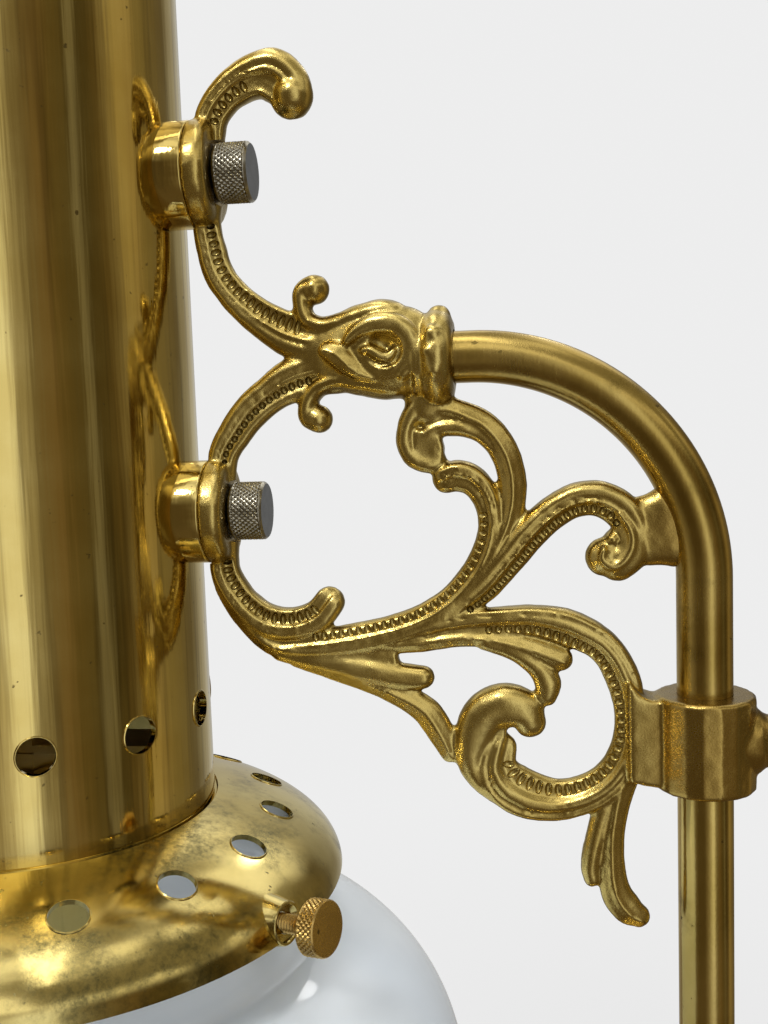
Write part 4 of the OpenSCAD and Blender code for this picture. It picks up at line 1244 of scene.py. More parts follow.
    def raised_strands(self) -> dict[str, Strand]:
        """The raised carving on the front of the head and of the branch's curl, which the back repeats.

        Returns:
            Each strand under its name.
        """
        return {
            "brow": Strand(
                ((83.6, 108.4, 1.0), (86.4, 110.8, 1.7), (90.6, 112.1, 2.2), (95, 111.4, 2.4),
                 (97.9, 108, 2.2), (98, 103.6, 1.9), (95.8, 100.6, 1.3)), 1.9, front=-6.8),
            "wedge": Strand(
                ((78.4, 106.5, 1.7), (80.6, 105.8, 2.5), (82.7, 104, 2.4), (84.9, 102, 1.8),
                 (87.4, 100.6, 1.0), (89.4, 100, 0.5)), 2.6, Relief.KEELED, front=-5.7),
            "comma": Strand(
                ((86.9, 106.1, 0.7), (88.5, 106.3, 1.2), (90.2, 105.3, 1.4), (91.8, 104.6, 1.3),
                 (93.2, 104.8, 1.1), (94, 105.9, 0.8)), 2.1, front=-6.2),
            "curl_ridge": Strand(
                ((142.6, 68.6, 0.6), (145.1, 64.4, 0.8), (145.1, 60.6, 0.9), (143, 57.4, 0.9),
                 (140.4, 56.7, 0.9), (138.6, 58.6, 0.8), (139.2, 60.6, 0.6)), 1.1, front=-3.2),
        }

    def knobs(self) -> list[bpy.types.Object]:
        """The balls at the ends of curls and volutes, and the crest and lumps of the ring.

        Returns:
            One mesh object for each ball.
        """
        eggs = (
            (72.4, 163.4, 4.6, 4.6), (75.6, 120.6, 3.4, 3.7), (75.4, 91.3, 3.3, 3.6),
            (139.4, 58.4, 4.4, 3.6), (141.2, 62.6, 1.9, 3.2), (101.8, 83.4, 1.3, 2.9),
            (103.6, 113.2, 2.8, 3.6), (100.6, 94.0, 5.4, 3.6),
        )
        lumps = ((102.9, 109.2, 8.2, 2.2), (101.8, 105.4, 9.5, 1.5), (103.2, 101.6, 9.2, 1.8))
        balls = [ball(head_place(x, z), Vector((r, d, r)) * MM) for x, z, r, d in eggs]
        for x, z, y, r in lumps:
            balls += [ball(head_place(x, z, side * y), Vector((r, r, r)) * MM) for side in (-1, 1)]
        return balls

    def turned_parts(self) -> list[bpy.types.Object]:
        """The ears, the ring, the collar and its stub.

        Returns:
            The closed mesh objects.
        """
        parts = []
        edge = self.ear_t * 0.45
        rim = arc((self.ear_r - edge, self.ear_t - edge), edge, 0, 90, 6)
        for z in self.ear_zs:
            ear = [(0.0, 0.0), (self.ear_r, 0.0), *rim, (0.0, self.ear_t)]
            parts.append(lathe("ear", ear, head_place(self.ear_x, z), RIGHT, 96, closed=False))
        bead = [
            (0.0, 0.0), (9.0, 0.0), (9.0, 1.5), *arc((7.4, 5.1), 3.5, -62, 80, 14), (7.6, 8.7), (0.0, 8.7),
        ]
        parts.append(lathe("ring", bead, head_place(98.2, self.arm_z), RIGHT, 96, closed=False))
        wide, high = self.collar_r, self.collar_h
        collar = [
            (0.0, 0.0), (wide - 0.5, 0.0), (wide, 0.5), (wide, high - 0.6), (wide - 0.5, high), (0.0, high),
        ]
        foot = head_place(self.post_x, self.collar_z)
        parts.append(lathe("collar", collar, foot, UP, self.collar_flats, closed=False))
        stub = [
            (0.0, 6.0), (8.6, 6.0), (7.2, 11.6), (6.2, 12.6), (5.8, 14.0), (5.8, 18.4), (5.3, 19.0),
            (0.0, 19.0),
        ]
        middle = head_place(self.post_x, self.collar_z + self.collar_h / 2)
        parts.append(lathe("stub", stub, middle, RIGHT, 64, closed=False))
        return parts

    def webs(self) -> list[bpy.types.Object]:
        """The flat webs under the ring, at the collar, in the volute, between the leaves and in the loop.

        Returns:
            The closed mesh objects.
        """
        collar_web = (
            (144, 7.4), (150, 6.4), (156, 6), (156, 26.4), (149.4, 26.4), (146.6, 27.6), (144, 31),
        )
        volute_web = ((97, 81), (103.6, 80), (104.1, 83.8), (103.4, 86.6), (97.5, 88.5))
        return [
            slab("neck_web", ((96.6, 97), (97.4, 90), (105, 91), (105.6, 97)), 2.4, 0.8),
            slab("collar_web", collar_web, 5.2, 0.9),
            slab("volute_web", volute_web, 2.6, 0.5),
            slab("leaf_web", ((70, 34.5), (84, 33), (92.4, 34.4), (90.6, 39.4), (72, 38.5)), 2.0, 0.5),
            slab("loop_web", ((109, 9), (114, 8), (116, 15), (117, 20), (110, 20)), 2.2, 0.5),
        ]

    def bores(self) -> bpy.types.Object:
        """The arm's socket, the post's bore and the screw holes, as one cutter.

        Returns:
            The cutter.
        """
        tube_r = (self.post_r + self.bore_gap) * MM
        screw_r = self.screw_bore_r * MM
        clamp = head_place(self.post_x + 2, self.collar_z + self.collar_h / 2)
        bars = [
            rod(tube_r, 60 * MM, head_place(self.post_x, -20), UP, 96),
            rod(tube_r, 20 * MM, head_place(self.socket_x, self.arm_z), RIGHT, 96),
            rod(screw_r, 30 * MM, clamp, RIGHT),
        ]
        for z in self.ear_zs:
            bars.append(rod(screw_r, 20 * MM, head_place(44, z), RIGHT))
            face, back = head_place(self.ear_x + self.ear_t, z), head_place(self.boss_room_x, z)
            bars.append(rod(self.knob_room_r * MM, self.knob_room_l * MM, face, RIGHT))
            bars.append(rod(self.boss_room_r * MM, self.boss_room_l * MM, back, RIGHT, 96))
        return join(bars, "bores")

    def pit_cutter(self) -> bpy.types.Object:
        """All pits as one cutter of small oval balls.

        Returns:
            The cutter.
        """
        frames = [m for strand in self.strands().values() for m in strand.pit_frames()]
        deselect()
        bpy.ops.mesh.primitive_ico_sphere_add(subdivisions=2, radius=1.0)
        first = active()
        balls = [first]
        for frame_of_pit in frames[1:]:
            pit = twin(first)
            pit.matrix_world = frame_of_pit
            balls.append(pit)
        first.matrix_world = frames[0]
        return join(balls, "pits")

    def raised_carving(self) -> list[bpy.types.Object]:
        """The raised carving on the front, mirrored on the back.

        Returns:
            The front and the back of each raised strand.
        """
        parts = []
        for name, strand in self.raised_strands().items():
            front = strand.mesh(name)
            back = twin(front)
            back.scale = (1.0, -1.0, 1.0)
            parts += [front, outward(settle(back))]
        return parts

    def eye_cutter(self) -> bpy.types.Object:
        """The hollows round the head's eyes.

        Returns:
            The cutter.
        """
        x, z, out = self.eye
        half = Vector(self.eye_half) * MM
        eyes = [ball(head_place(x, z, y), half, 32) for y in (-out, out)]
        return join(eyes, "eyes")

    def soften(self, casting: bpy.types.Object) -> None:
        """Round every corner and seam as a sand casting does, and give the faces slight lumps.

        Args:
            casting: The fused casting.
        """
        modify(casting, "REMESH", mode="VOXEL", voxel_size=self.grid * MM)
        modify(casting, "SMOOTH", factor=0.5, iterations=self.rounding)
        lumps = bpy.data.textures.new("cast_lumps", "CLOUDS")
        lumps.noise_scale = self.lump_size * MM
        modify(casting, "DISPLACE", texture=lumps, strength=self.lump_height * MM, mid_level=0.5)

    def build(self, material: bpy.types.Material) -> None:
        """Fuse the strands and parts, soften them, cut the pits and bores, and dress the casting.

        Args:
            material: The casting's finish.
        """
        meshes = {name: strand.mesh(name) for name, strand in self.strands().items()}
        cut(meshes["socket_head"], self.eye_cutter(), "MANIFOLD")
        casting = meshes.pop("socket_head")
        carving = self.raised_carving()
        others = [*meshes.values(), *carving, *self.knobs(), *self.turned_parts(), *self.webs()]
        for part in others:
            unite(casting, part)
        self.soften(casting)
        cut(casting, self.pit_cutter(), "MANIFOLD")
        cut(casting, self.bores(), "MANIFOLD")
        modify(casting, "DECIMATE", ratio=self.kept_share)
        casting.name = "scroll_casting"
        smooth(casting, self.crease)
        wear(casting, material, Body.ARM, Slot.CAST_BRASS, "scroll_bracket")


# Arm and post


@dataclass
class Stand:
    """The bent arm, the post and the parts of the foot.

    Sizes are in millimetres. The arm's places count from the cylinder's axis and lower edge, and the
    post's and foot's heights from the table.
    """

    tube_r: float = TUBE_R
    reach: float = REACH
    arm_z: float = ARM_Z
    bend_r: float = 50.5
    slim: float = 0.94
    foot_z: float = 21.0
    end_x: float = 97.0
    post_foot: float = 3.0
    post_wall: float = 1.6
    turn_gap: float = 0.3
    felt_t: float = 2.0
    foot_r: float = 96.0
    bead_z: float = 10.0
    hub_r: float = 12.2
    hub_z: float = 42.0
    cover_wall: float = 1.2

    def arm(self, material: bpy.types.Material) -> None:
        """The arm as a round tube along its bent path.

        Args:
            material: The arm's finish.
        """
        mid_x, mid_z = self.reach - self.bend_r, self.arm_z - self.bend_r
        turn = [
            (mid_x + self.bend_r * math.cos(a), mid_z + self.bend_r * math.sin(a))
            for a in np.linspace(0.0, math.pi / 2, 49)
        ]
        low = [(self.reach, z) for z in np.linspace(self.foot_z, mid_z, 8)[:-1]]
        high = [(x, self.arm_z) for x in np.linspace(mid_x, self.end_x, 4)[1:]]
        path = low + turn + high
        deselect()
        bpy.ops.curve.primitive_nurbs_path_add()
        obj = named("arm_bend")
        curve = obj.data
        curve.splines.clear()
        spline = curve.splines.new("POLY")
        spline.points.add(len(path) - 1)
        for k, (point, (x, z)) in enumerate(zip(spline.points, path)):
            point.co = (*head_place(x, z), 1.0)
            point.radius = 1.0 + (self.slim - 1.0) * k / (len(path) - 1)
        curve.bevel_depth = self.tube_r * MM
        curve.bevel_resolution = 14
        curve.use_fill_caps = True
        only(obj)
        bpy.ops.object.convert(target="MESH")
        obj = settle(named("arm_bend"))
        wear(smooth(obj), material, Body.ARM, Slot.CAST_BRASS, "arm_tube")

    def foot(self, material: bpy.types.Material) -> None:
        """The spun cover of the foot: a bell that rises from a round bead to the post.

        Args:
            material: The foot's finish.
        """
        steps = 64
        bell = []
        for k in range(1, steps + 1):
            u = k / steps
            rise = (self.hub_z - self.bead_z) * u * u * (3 - 2 * u)
            bell.append((self.foot_r + (self.hub_r - self.foot_r) * u, self.bead_z + rise))
        under = [(r, z - self.cover_wall) for r, z in reversed(bell)]
        edge = self.foot_r - self.cover_wall
        bead = (self.bead_z - self.felt_t) / 2
        bore = self.tube_r + FIT_GAP
        outline = [
            (edge, self.felt_t), *arc((self.foot_r, self.felt_t + bead), bead, -90, 90, 20), *bell,
            (bore, self.hub_z), (bore, self.hub_z - self.cover_wall), *under,
            (edge, self.bead_z - self.cover_wall),
        ]
        cover = lathe("spun_foot", outline, Vector(), steps=FINE_STEPS)
        wear(smooth(cover), material, Body.STAND, Slot.POLISHED_BRASS, "base_cover")

    def ferrule(self, material: bpy.types.Material) -> None:
        """The turned ring at the post's foot.

        Args:
            material: The ring's finish.
        """
        bore = self.tube_r + FIT_GAP
        outline = [
            (bore, 0.0), (14.6, 0.0), (15.0, 0.4), *arc((13.0, 2.0), 2.0, 0, 90, 10),
            *oval((13.0, 14.0), 4.4, 10.0, -90, -180, 16), *arc((7.6, 15.0), 1.0, 0, 90, 6), (bore, 16.0),
        ]
        ring = lathe("turned_ferrule", outline, Vector((0, 0, self.hub_z * MM)), steps=128)
        wear(smooth(ring), material, Body.STAND, Slot.POLISHED_BRASS, "post_ferrule")

    def post(self, material: bpy.types.Material) -> None:
        """The straight tube of the post.

        Args:
            material: The post's finish.
        """
        top = HEAD.z / MM + self.foot_z - self.turn_gap
        inner = self.tube_r - self.post_wall
        outline = [(inner, self.post_foot), (self.tube_r, self.post_foot), (self.tube_r, top), (inner, top)]
        tube = lathe("post_tube", outline, Vector(), steps=96)
        wear(smooth(tube), material, Body.STAND, Slot.POLISHED_BRASS, "post")


# Cylinder, holder and shade


@dataclass
class LampHead:
    """The brass cylinder with its cap, finial and bosses, the domed holder and the glass shade.

    Sizes are in millimetres from the cylinder's axis and lower edge, and turns in degrees.
    """

    cyl_r: float = 44.45
    cyl_wall: float = 1.2
    cyl_h: float = 218.0
    foot_edge: float = 0.45
    seam: float = 0.6
    rim_r: float = 0.34
    cap_rise: float = 26.0
    cap_bead: float = 1.6
    rim_sink: float = 0.12
    vent_d: float = 8.2
    vent_count: int = 12
    vent_z: float = 23.9
    vent_turn: float = 27.2
    cord_hole_r: float = 5.05
    cord_z: float = 46.0
    skirt_h: float = 10.0
    cap_vent_d: float = 7.0
    cap_vent_count: int = 12
    cap_vent_turn: float = 90.0
    bolt_r: float = 2.5
    bolt_l: float = 8.2
    boss_r: float = 12.0
    boss_l: float = 4.6
    boss_sink: float = 2.6
    boss_bore_r: float = 3.1
    boss_edge: float = 0.5
    boss_zs: Point = EAR_ZS
    holder_r: float = 75.6
    holder_drop: float = 20.0
    edge_drop: float = 19.2
    holder_wall: float = 1.2
    neck_h: float = 14.0
    dome_gap: float = 0.8
    seam_step: float = 0.45
    dome_vent_d: float = 8.3
    dome_vent_count: int = 16
    dome_vent_r: float = 59.9
    dome_vent_turn: float = 30.8
    screw_count: int = 3
    screw_turn: float = 67.5
    screw_drop: float = 16.0
    screw_tilt: float = 5.0
    lip_d: float = 9.4
    lip_proud: float = 0.9
    screw_hole_r: float = 2.3
    screw_hole_l: float = 24.0
    screw_hole_in: float = 14.0
    neck_r: float = 66.2
    lip_r: float = 68.0
    belly_r: float = 104.79
    belly_drop: float = 75.0
    mouth_drop: float = 120.0
    mouth_r: float = 98.0
    glass_wall: float = 3.4
    glass_room: float = 0.85
    glass_crease: float = 50.0
    turn_in: float = 12.6
    shoulder_rise: float = 43.6

    def round_place(self, turn: float, radius: float, z: float) -> Vector:
        """A place round the head: degrees from the front towards the post, radius and height."""
        a = math.radians(turn - 90.0)
        return head_place(radius * math.cos(a), z, radius * math.sin(a))

    def round_way(self, turn: float, rise: float = 0.0) -> Vector:
        """An outward direction round the head, which rises by degrees."""
        a, b = math.radians(turn - 90.0), math.radians(rise)
        return Vector((math.cos(a) * math.cos(b), math.sin(a) * math.cos(b), math.sin(b)))

    def vent_rim(self, hole_d: float, place: Vector, way: Vector) -> bpy.types.Object:
        """The slightly raised round rim of one vent hole, at the sheet's outer face.

        Args:
            hole_d: The hole's diameter in millimetres.
            place: The hole's middle at the outer face, in metres.
            way: The hole's outward direction.

        Returns:
            The rim's mesh object.
        """
        deselect()
        bpy.ops.mesh.primitive_torus_add(
            major_radius=hole_d / 2 * MM,
            minor_radius=self.rim_r * MM,
            major_segments=HOLE_SIDES,
            minor_segments=10,
        )
        rim = active()
        rim.matrix_world = Matrix.Translation(place - way * self.rim_sink * MM) @ turn_to(way)
        return settle(rim)

    def vents(
        self, count: int, hole_d: float, first_turn: float, radius: float, z: float, rise: float
    ) -> tuple[list[bpy.types.Object], list[bpy.types.Object]]:
        """Cutters and rims of a ring of holes in a domed sheet.

        Args:
            count: The number of holes.
            hole_d: A hole's diameter in millimetres.
            first_turn: Where the first hole stands, in degrees from the front.
            radius: The ring's radius in millimetres.
            z: The ring's height in millimetres.
            rise: How far the holes point upwards, in degrees.

        Returns:
            The cutters and the rims.
        """
        holes, rims = [], []
        reach = 4
        for k in range(count):
            turn = first_turn + 360.0 * k / count
            way = self.round_way(turn, rise)
            place = self.round_place(turn, radius, z)
            rims.append(self.vent_rim(hole_d, place, way))
            start = place - way * reach * MM
            holes.append(rod(hole_d / 2 * MM, 2 * reach * MM, start, way, HOLE_SIDES))
        return holes, rims

    def cylinder(self, material: bpy.types.Material) -> None:
        """The tall tube with its ring of vent holes and the cord's hole.

        Args:
            material: The cylinder's finish.
        """
        inner = self.cyl_r - self.cyl_wall
        rings = [self.cyl_h * k / 24 for k in range(1, 25)]
        edge = self.foot_edge
        foot = [(inner, 0.0), *arc((self.cyl_r - edge, edge), edge, -90, 0, 5)]
        outline = foot + [(self.cyl_r, z) for z in rings] + [(inner, z) for z in reversed(rings)]
        tube = lathe("brass_cylinder", outline, HEAD, steps=FINE_STEPS)
        holes, rims = [], []
        room, depth = 2, 6 * MM
        for k in range(self.vent_count):
            turn = self.vent_turn + 360.0 * k / self.vent_count
            way = self.round_way(turn)
            rims.append(self.vent_rim(self.vent_d, self.round_place(turn, self.cyl_r, self.vent_z), way))
            start = self.round_place(turn, inner - room, self.vent_z)
            holes.append(rod(self.vent_d / 2 * MM, depth, start, way, HOLE_SIDES))
        cord = head_place(-self.cyl_r - room, self.cord_z)
        holes.append(rod(self.cord_hole_r * MM, depth, cord, RIGHT, HOLE_SIDES))
        for z in self.boss_zs:
            holes.append(rod(self.boss_bore_r * MM, depth, head_place(inner - room, z), RIGHT, 32))
        unite(tube, join(rims, "vent_rims"))
        cut(tube, join(holes, "vent_cutter"), "MANIFOLD")
        wear(smooth(tube, SHEET_CREASE), material, Body.ARM, Slot.POLISHED_BRASS, "lamp_cylinder")

    def cap(self, material: bpy.types.Material) -> None:
        """The domed cap in the cylinder's top, with its bead and vent holes.

        Args:
            material: The cap's finish.
        """
        skirt = self.cyl_r - self.cyl_wall - FIT_GAP
        wall, bead, bore = self.cyl_wall, self.cap_bead, self.bolt_r + FIT_GAP
        low = self.cyl_h + 2 * bead
        half, rise = self.cyl_r - 1.0, self.cap_rise - 2 * bead
        outline = [
            (skirt - wall, self.cyl_h - self.skirt_h), (skirt, self.cyl_h - self.skirt_h),
            (skirt, self.cyl_h), *arc((half, self.cyl_h + bead), bead, -90, 90, 12),
            *oval((0.0, low), half, rise, 2, 86, 48), (bore, low + rise), (bore, low + rise - wall),
            *oval((0.0, low - wall), half - wall, rise, 86, 0, 48), (skirt - wall, low - wall),
        ]
        dome = lathe("domed_cap", outline, HEAD, steps=FINE_STEPS)
        root = math.sqrt(0.5)
        up = 90.0 - math.degrees(math.atan2(rise, half))
        holes, rims = self.vents(
            self.cap_vent_count, self.cap_vent_d, self.cap_vent_turn, half * root, low + rise * root, up
        )
        unite(dome, join(rims, "cap_rims"))
        cut(dome, join(holes, "cap_cutter"), "MANIFOLD")
        wear(smooth(dome, SHEET_CREASE), material, Body.ARM, Slot.POLISHED_BRASS, "cylinder_cap")

    def finial(self, material: bpy.types.Material) -> None:
        """The ball finial on the cap, with its bolt.

        Args:
            material: The finial's finish.
        """
        top = self.cyl_h + self.cap_rise
        low, foot = top - self.bolt_l, top + FIT_GAP
        outline = [
            (0.0, low), (self.bolt_r, low), (self.bolt_r, foot), (7.6, foot),
            *arc((7.5, foot + 0.5), 0.5, -60, 70, 6),
            (5.2, foot + 1.6), (3.6, foot + 2.4), (3.2, foot + 3.4), (3.3, foot + 5.4),
            *arc((0.0, foot + 13.5), 8.0, -62, 90, 32),
        ]
        knob = lathe("ball_finial", outline, HEAD, steps=96, closed=False)
        wear(smooth(knob), material, Body.ARM, Slot.POLISHED_BRASS, "cap_finial")

    def bosses(self, material: bpy.types.Material) -> None:
        """The two turned bosses between the cylinder and the bracket's ears.

        Args:
            material: The bosses' finish.
        """
        start = self.cyl_r - self.boss_sink
        end = self.cyl_r + self.boss_l
        length = end - start
        edge, bore, reach = self.boss_edge, self.boss_bore_r, 30
        outline = [
            (bore, 0.0), (self.boss_r, 0.0), (self.boss_r, length - edge),
            *arc((self.boss_r - edge, length - edge), edge, 0, 90, 4), (bore, length),
        ]
        for word, z in zip(("upper", "lower"), self.boss_zs):
            boss = lathe(f"{word}_turned_boss", outline, head_place(start, z), RIGHT, 128)
            seat_r, low = (self.cyl_r + FIT_GAP) * MM, head_place(0, z - reach)
            cut(boss, rod(seat_r, 2 * reach * MM, low, UP, FINE_STEPS))
            wear(smooth(boss), material, Body.ARM, Slot.POLISHED_BRASS, f"{word}_boss")

    @property
    def dome_start(self) -> float:
        """Where the dome meets the cylinder's lower edge."""
        return self.cyl_r + self.dome_gap

    @property
    def dome_rise(self) -> float:
        """The upright half axis of the dome's ellipse."""
        return self.holder_drop / math.sqrt(1.0 - (self.dome_start / self.holder_r) ** 2)

    def dome_line(self, wall: float) -> list[Point]:
        """The dome's line from its lower edge up to the cylinder, moved in by a wall.

        Args:
            wall: How far the line is moved in, in millimetres.

        Returns:
            Radius and height of each point.
        """
        low = math.degrees(math.asin((self.holder_drop - self.edge_drop) / self.dome_rise))
        high = math.degrees(math.acos(self.dome_start / self.holder_r))
        return oval((0.0, -self.holder_drop), self.holder_r - wall, self.dome_rise - wall, low, high, 48)

    def dome_vents(self) -> tuple[list[bpy.types.Object], list[bpy.types.Object]]:
        """Cutters and rims of the ring of holes in the dome.

        Returns:
            The cutters and the rims.
        """
        share = math.sqrt(1.0 - (self.dome_vent_r / self.holder_r) ** 2)
        z = -self.holder_drop + self.dome_rise * share
        slope = math.degrees(math.atan(self.dome_rise * self.dome_vent_r / (self.holder_r**2 * share)))
        return self.vents(
            self.dome_vent_count, self.dome_vent_d, self.dome_vent_turn, self.dome_vent_r, z, 90.0 - slope
        )

    def screw_lips(self) -> list[bpy.types.Object]:
        """The flared lips that the screws pass, pressed out of the dome.

        Returns:
            One mesh object for each lip.
        """
        r, proud = self.lip_d / 2, self.lip_proud
        flare = [
            (0.0, -7.0), (r + 2.0, -7.0), (r + 0.9, -3.4), (r + 0.45, -1.4), (r + 0.15, -0.2),
            (r, proud - 0.2), (r - 0.2, proud), (r - 0.7, proud - 0.1), (3.1, -0.6),
            (self.screw_hole_r, -1.0), (0.0, -1.0),
        ]
        low, wall = -2 * self.holder_drop, self.holder_wall
        room = [(0.0, low), (self.holder_r - wall, low), *self.dome_line(wall), (0.0, -wall)]
        lips = []
        for k in range(self.screw_count):
            lip = lathe("screw_lip", flare, self.screw_place(k), self.screw_way(k), 64, closed=False)
            inside = lathe("dome_room", room, HEAD, steps=FINE_STEPS, closed=False)
            lips.append(cut(lip, inside, "MANIFOLD"))
        return lips

    def holder(self, material: bpy.types.Material) -> None:
        """The domed holder with its vents and the flared lips for its screws.

        Args:
            material: The holder's finish.
        """
        neck, wall = self.cyl_r - self.cyl_wall - FIT_GAP, self.holder_wall
        outline = [
            *self.dome_line(0.0), (self.cyl_r + self.seam_step, -self.seam), (neck, -self.seam),
            (neck, self.neck_h), (neck - wall, self.neck_h), (neck - wall, -wall),
            *reversed(self.dome_line(wall)),
        ]
        dome = lathe("domed_holder", outline, HEAD, steps=FINE_STEPS)
        for lip in self.screw_lips():
            unite(dome, lip)
        holes, rims = self.dome_vents()
        unite(dome, join(rims, "dome_rims"))
        for k in range(self.screw_count):
            way = self.screw_way(k)
            start = self.screw_place(k) - way * self.screw_hole_in * MM
            holes.append(rod(self.screw_hole_r * MM, self.screw_hole_l * MM, start, way, HOLE_SIDES))
        cut(dome, join(holes, "dome_cutter"), "MANIFOLD")
        wear(smooth(dome, SHEET_CREASE), material, Body.ARM, Slot.TARNISHED_BRASS, "shade_holder")

    def screw_angle(self, k: int) -> float:
        """Where a shade screw stands, in degrees from the front."""
        return self.screw_turn + 360.0 * k / self.screw_count

    def screw_way(self, k: int) -> Vector:
        """The outward direction of a shade screw."""
        return self.round_way(self.screw_angle(k), self.screw_tilt)

    def screw_place(self, k: int) -> Vector:
        """Where a shade screw's axis leaves the dome."""
        out = self.holder_r * math.sqrt(1.0 - ((self.holder_drop - self.screw_drop) / self.dome_rise) ** 2)
        return self.round_place(self.screw_angle(k), out, -self.screw_drop)

    def shade(self, material: bpy.types.Material) -> None:
        """The opal glass from its lip to its open end.

        Args:
            material: The glass's finish.
        """
        share = math.sqrt(1.0 - (self.lip_r / (self.holder_r - self.holder_wall)) ** 2)
        top = -self.holder_drop - self.glass_room + (self.dome_rise - self.holder_wall) * share
        half = self.belly_r - self.neck_r + self.turn_in
        rise = self.shoulder_rise
        steps = 16
        start = math.degrees(math.acos((self.neck_r - self.belly_r + half) / half))

        def face(t: float) -> list[Point]:
            """The glass's line from its neck to its mouth, moved in by t.

            Args:
                t: How far the line is moved in, in millimetres.

            Returns:
                Radius and height of each point.
            """
            neck = (self.neck_r - t, -self.belly_drop + rise * math.sin(math.radians(start)) + 3)
            crown = oval((self.belly_r - half, -self.belly_drop), half - t, rise - t, start - 3, 0, 40)
            low = [
                (self.belly_r - t - (self.belly_r - self.mouth_r) * (k / steps) ** 2,
                 -self.belly_drop - (self.mouth_drop - self.belly_drop) * k / steps)
                for k in range(1, steps + 1)
            ]
            return [neck, *crown, *low]

        rim = [(self.mouth_r - self.glass_wall / 2, -self.mouth_drop)]
        outer, inner = face(0.0), face(self.glass_wall)
        aside, above = 0.3, 0.9
        outer[-1] = (outer[-1][0] - aside, outer[-1][1] + above)
        inner[-1] = (inner[-1][0] + aside, inner[-1][1] + above)
        lip = [
            (self.neck_r - self.glass_wall, top), (self.lip_r, top), (self.lip_r, top - 1.0),
            (self.neck_r, top - 1.3),
        ]
        shade = lathe("opal_shade", [*lip, *outer, *rim, *reversed(inner)], HEAD, steps=FINE_STEPS)
        wear(smooth(shade, self.glass_crease), material, Body.ARM, Slot.OPAL_GLASS, "glass_shade")


# Screws


@dataclass
class KnurledScrew:
    """A turned screw with a knurled head: a thumbscrew or a shade screw.

    Its place is in metres, at the back of its head, and its sizes are in millimetres.
    """

    name: str
    node: str
    body: Body
    slot: Slot
    place: Vector
    along: Vector
    head_r: float
    head_l: float
    shank_r: float
    shank_l: float
    bevel: float = 0.8
    starts: int = 36
    pitch: float = 1.35
    knurl_depth: float = 0.36
    thread_pitch: float = 0.8
    thread_share: float = 0.16
    crease: float = 28.0

    def knurl(self, turn: np.ndarray, z: np.ndarray) -> np.ndarray:
        """Height of the diamond knurl, 0 in its seats and 1 on its points.

        Args:
            turn: Angles round the head in radians.
            z: Heights along it in millimetres.

        Returns:
            The height at each point.
        """
        a = turn * self.starts / (2 * math.pi)
        b = z / self.pitch
        first = np.abs(((a + b) % 1.0) * 2 - 1)
        second = np.abs(((a - b) % 1.0) * 2 - 1)
        return np.minimum(np.minimum(first, second) * 1.35, 1.0)

    def head(self) -> bpy.types.Object:
        """The knurled head along +Z, from its back at 0 to its flat end.

        Returns:
            The head's mesh object.
        """
        rows = max(12, int(self.head_l / self.pitch * 8))
        side = [(self.head_r, self.head_l * k / rows) for k in range(rows + 1)]
        flat = self.head_r * 0.6
        outline = [(0.0, 0.0), (flat, 0.0), *side, (flat, self.head_l), (0.0, self.head_l)]
        obj = lathe(f"{self.name}_head", outline, Vector(), steps=self.starts * 6, closed=False)
        mesh = obj.data
        co = np.zeros(len(mesh.vertices) * 3)
        mesh.vertices.foreach_get("co", co)
        co = co.reshape(-1, 3) / MM
        z = co[:, 2]
        radius = np.hypot(co[:, 0], co[:, 1])
        turn = np.arctan2(co[:, 1], co[:, 0])
        rim = radius > self.head_r * 0.8
        to_end = np.minimum(z, self.head_l - z)
        fade = np.clip((to_end - self.bevel) / 0.3 + 0.5, 0.0, 1.0)
        end = np.clip(1.0 - to_end / self.bevel, 0.0, 1.0)
        inward = self.knurl_depth * (1.0 - self.knurl(turn, z)) * fade + self.bevel * 0.7 * end**1.7
        radius = np.where(rim, radius - inward, radius)
        co[:, 0], co[:, 1] = radius * np.cos(turn), radius * np.sin(turn)
        mesh.vertices.foreach_set("co", (co * MM).ravel())
        mesh.update()
        return obj

    def shank(self) -> bpy.types.Object:
        """The threaded shank below the head, from -shank_l up to the head.

        Returns:
            The shank's mesh object.
        """
        turns = int(self.shank_l / self.thread_pitch)
        root = self.shank_r - self.thread_share * self.shank_r
        side = []
        for k in range(turns):
            z = -self.shank_l + k * self.thread_pitch
            side += [(root, z), (self.shank_r, z + 0.5 * self.thread_pitch)]
        outline = [(0.0, -self.shank_l), *side, (root, 0.0), (root, 0.5), (0.0, 0.5)]
        return lathe(f"{self.name}_shank", outline, Vector(), steps=40, closed=False)

    def build(self, material: bpy.types.Material) -> None:
        """Join head and shank, put the screw in place and dress it.

        Args:
            material: The screw's finish.
        """
        screw = join([self.head(), self.shank()], self.name)
        screw.matrix_world = Matrix.Translation(self.place) @ turn_to(self.along.normalized())
        settle(screw)
        wear(smooth(screw, self.crease), material, self.body, self.slot, self.node)


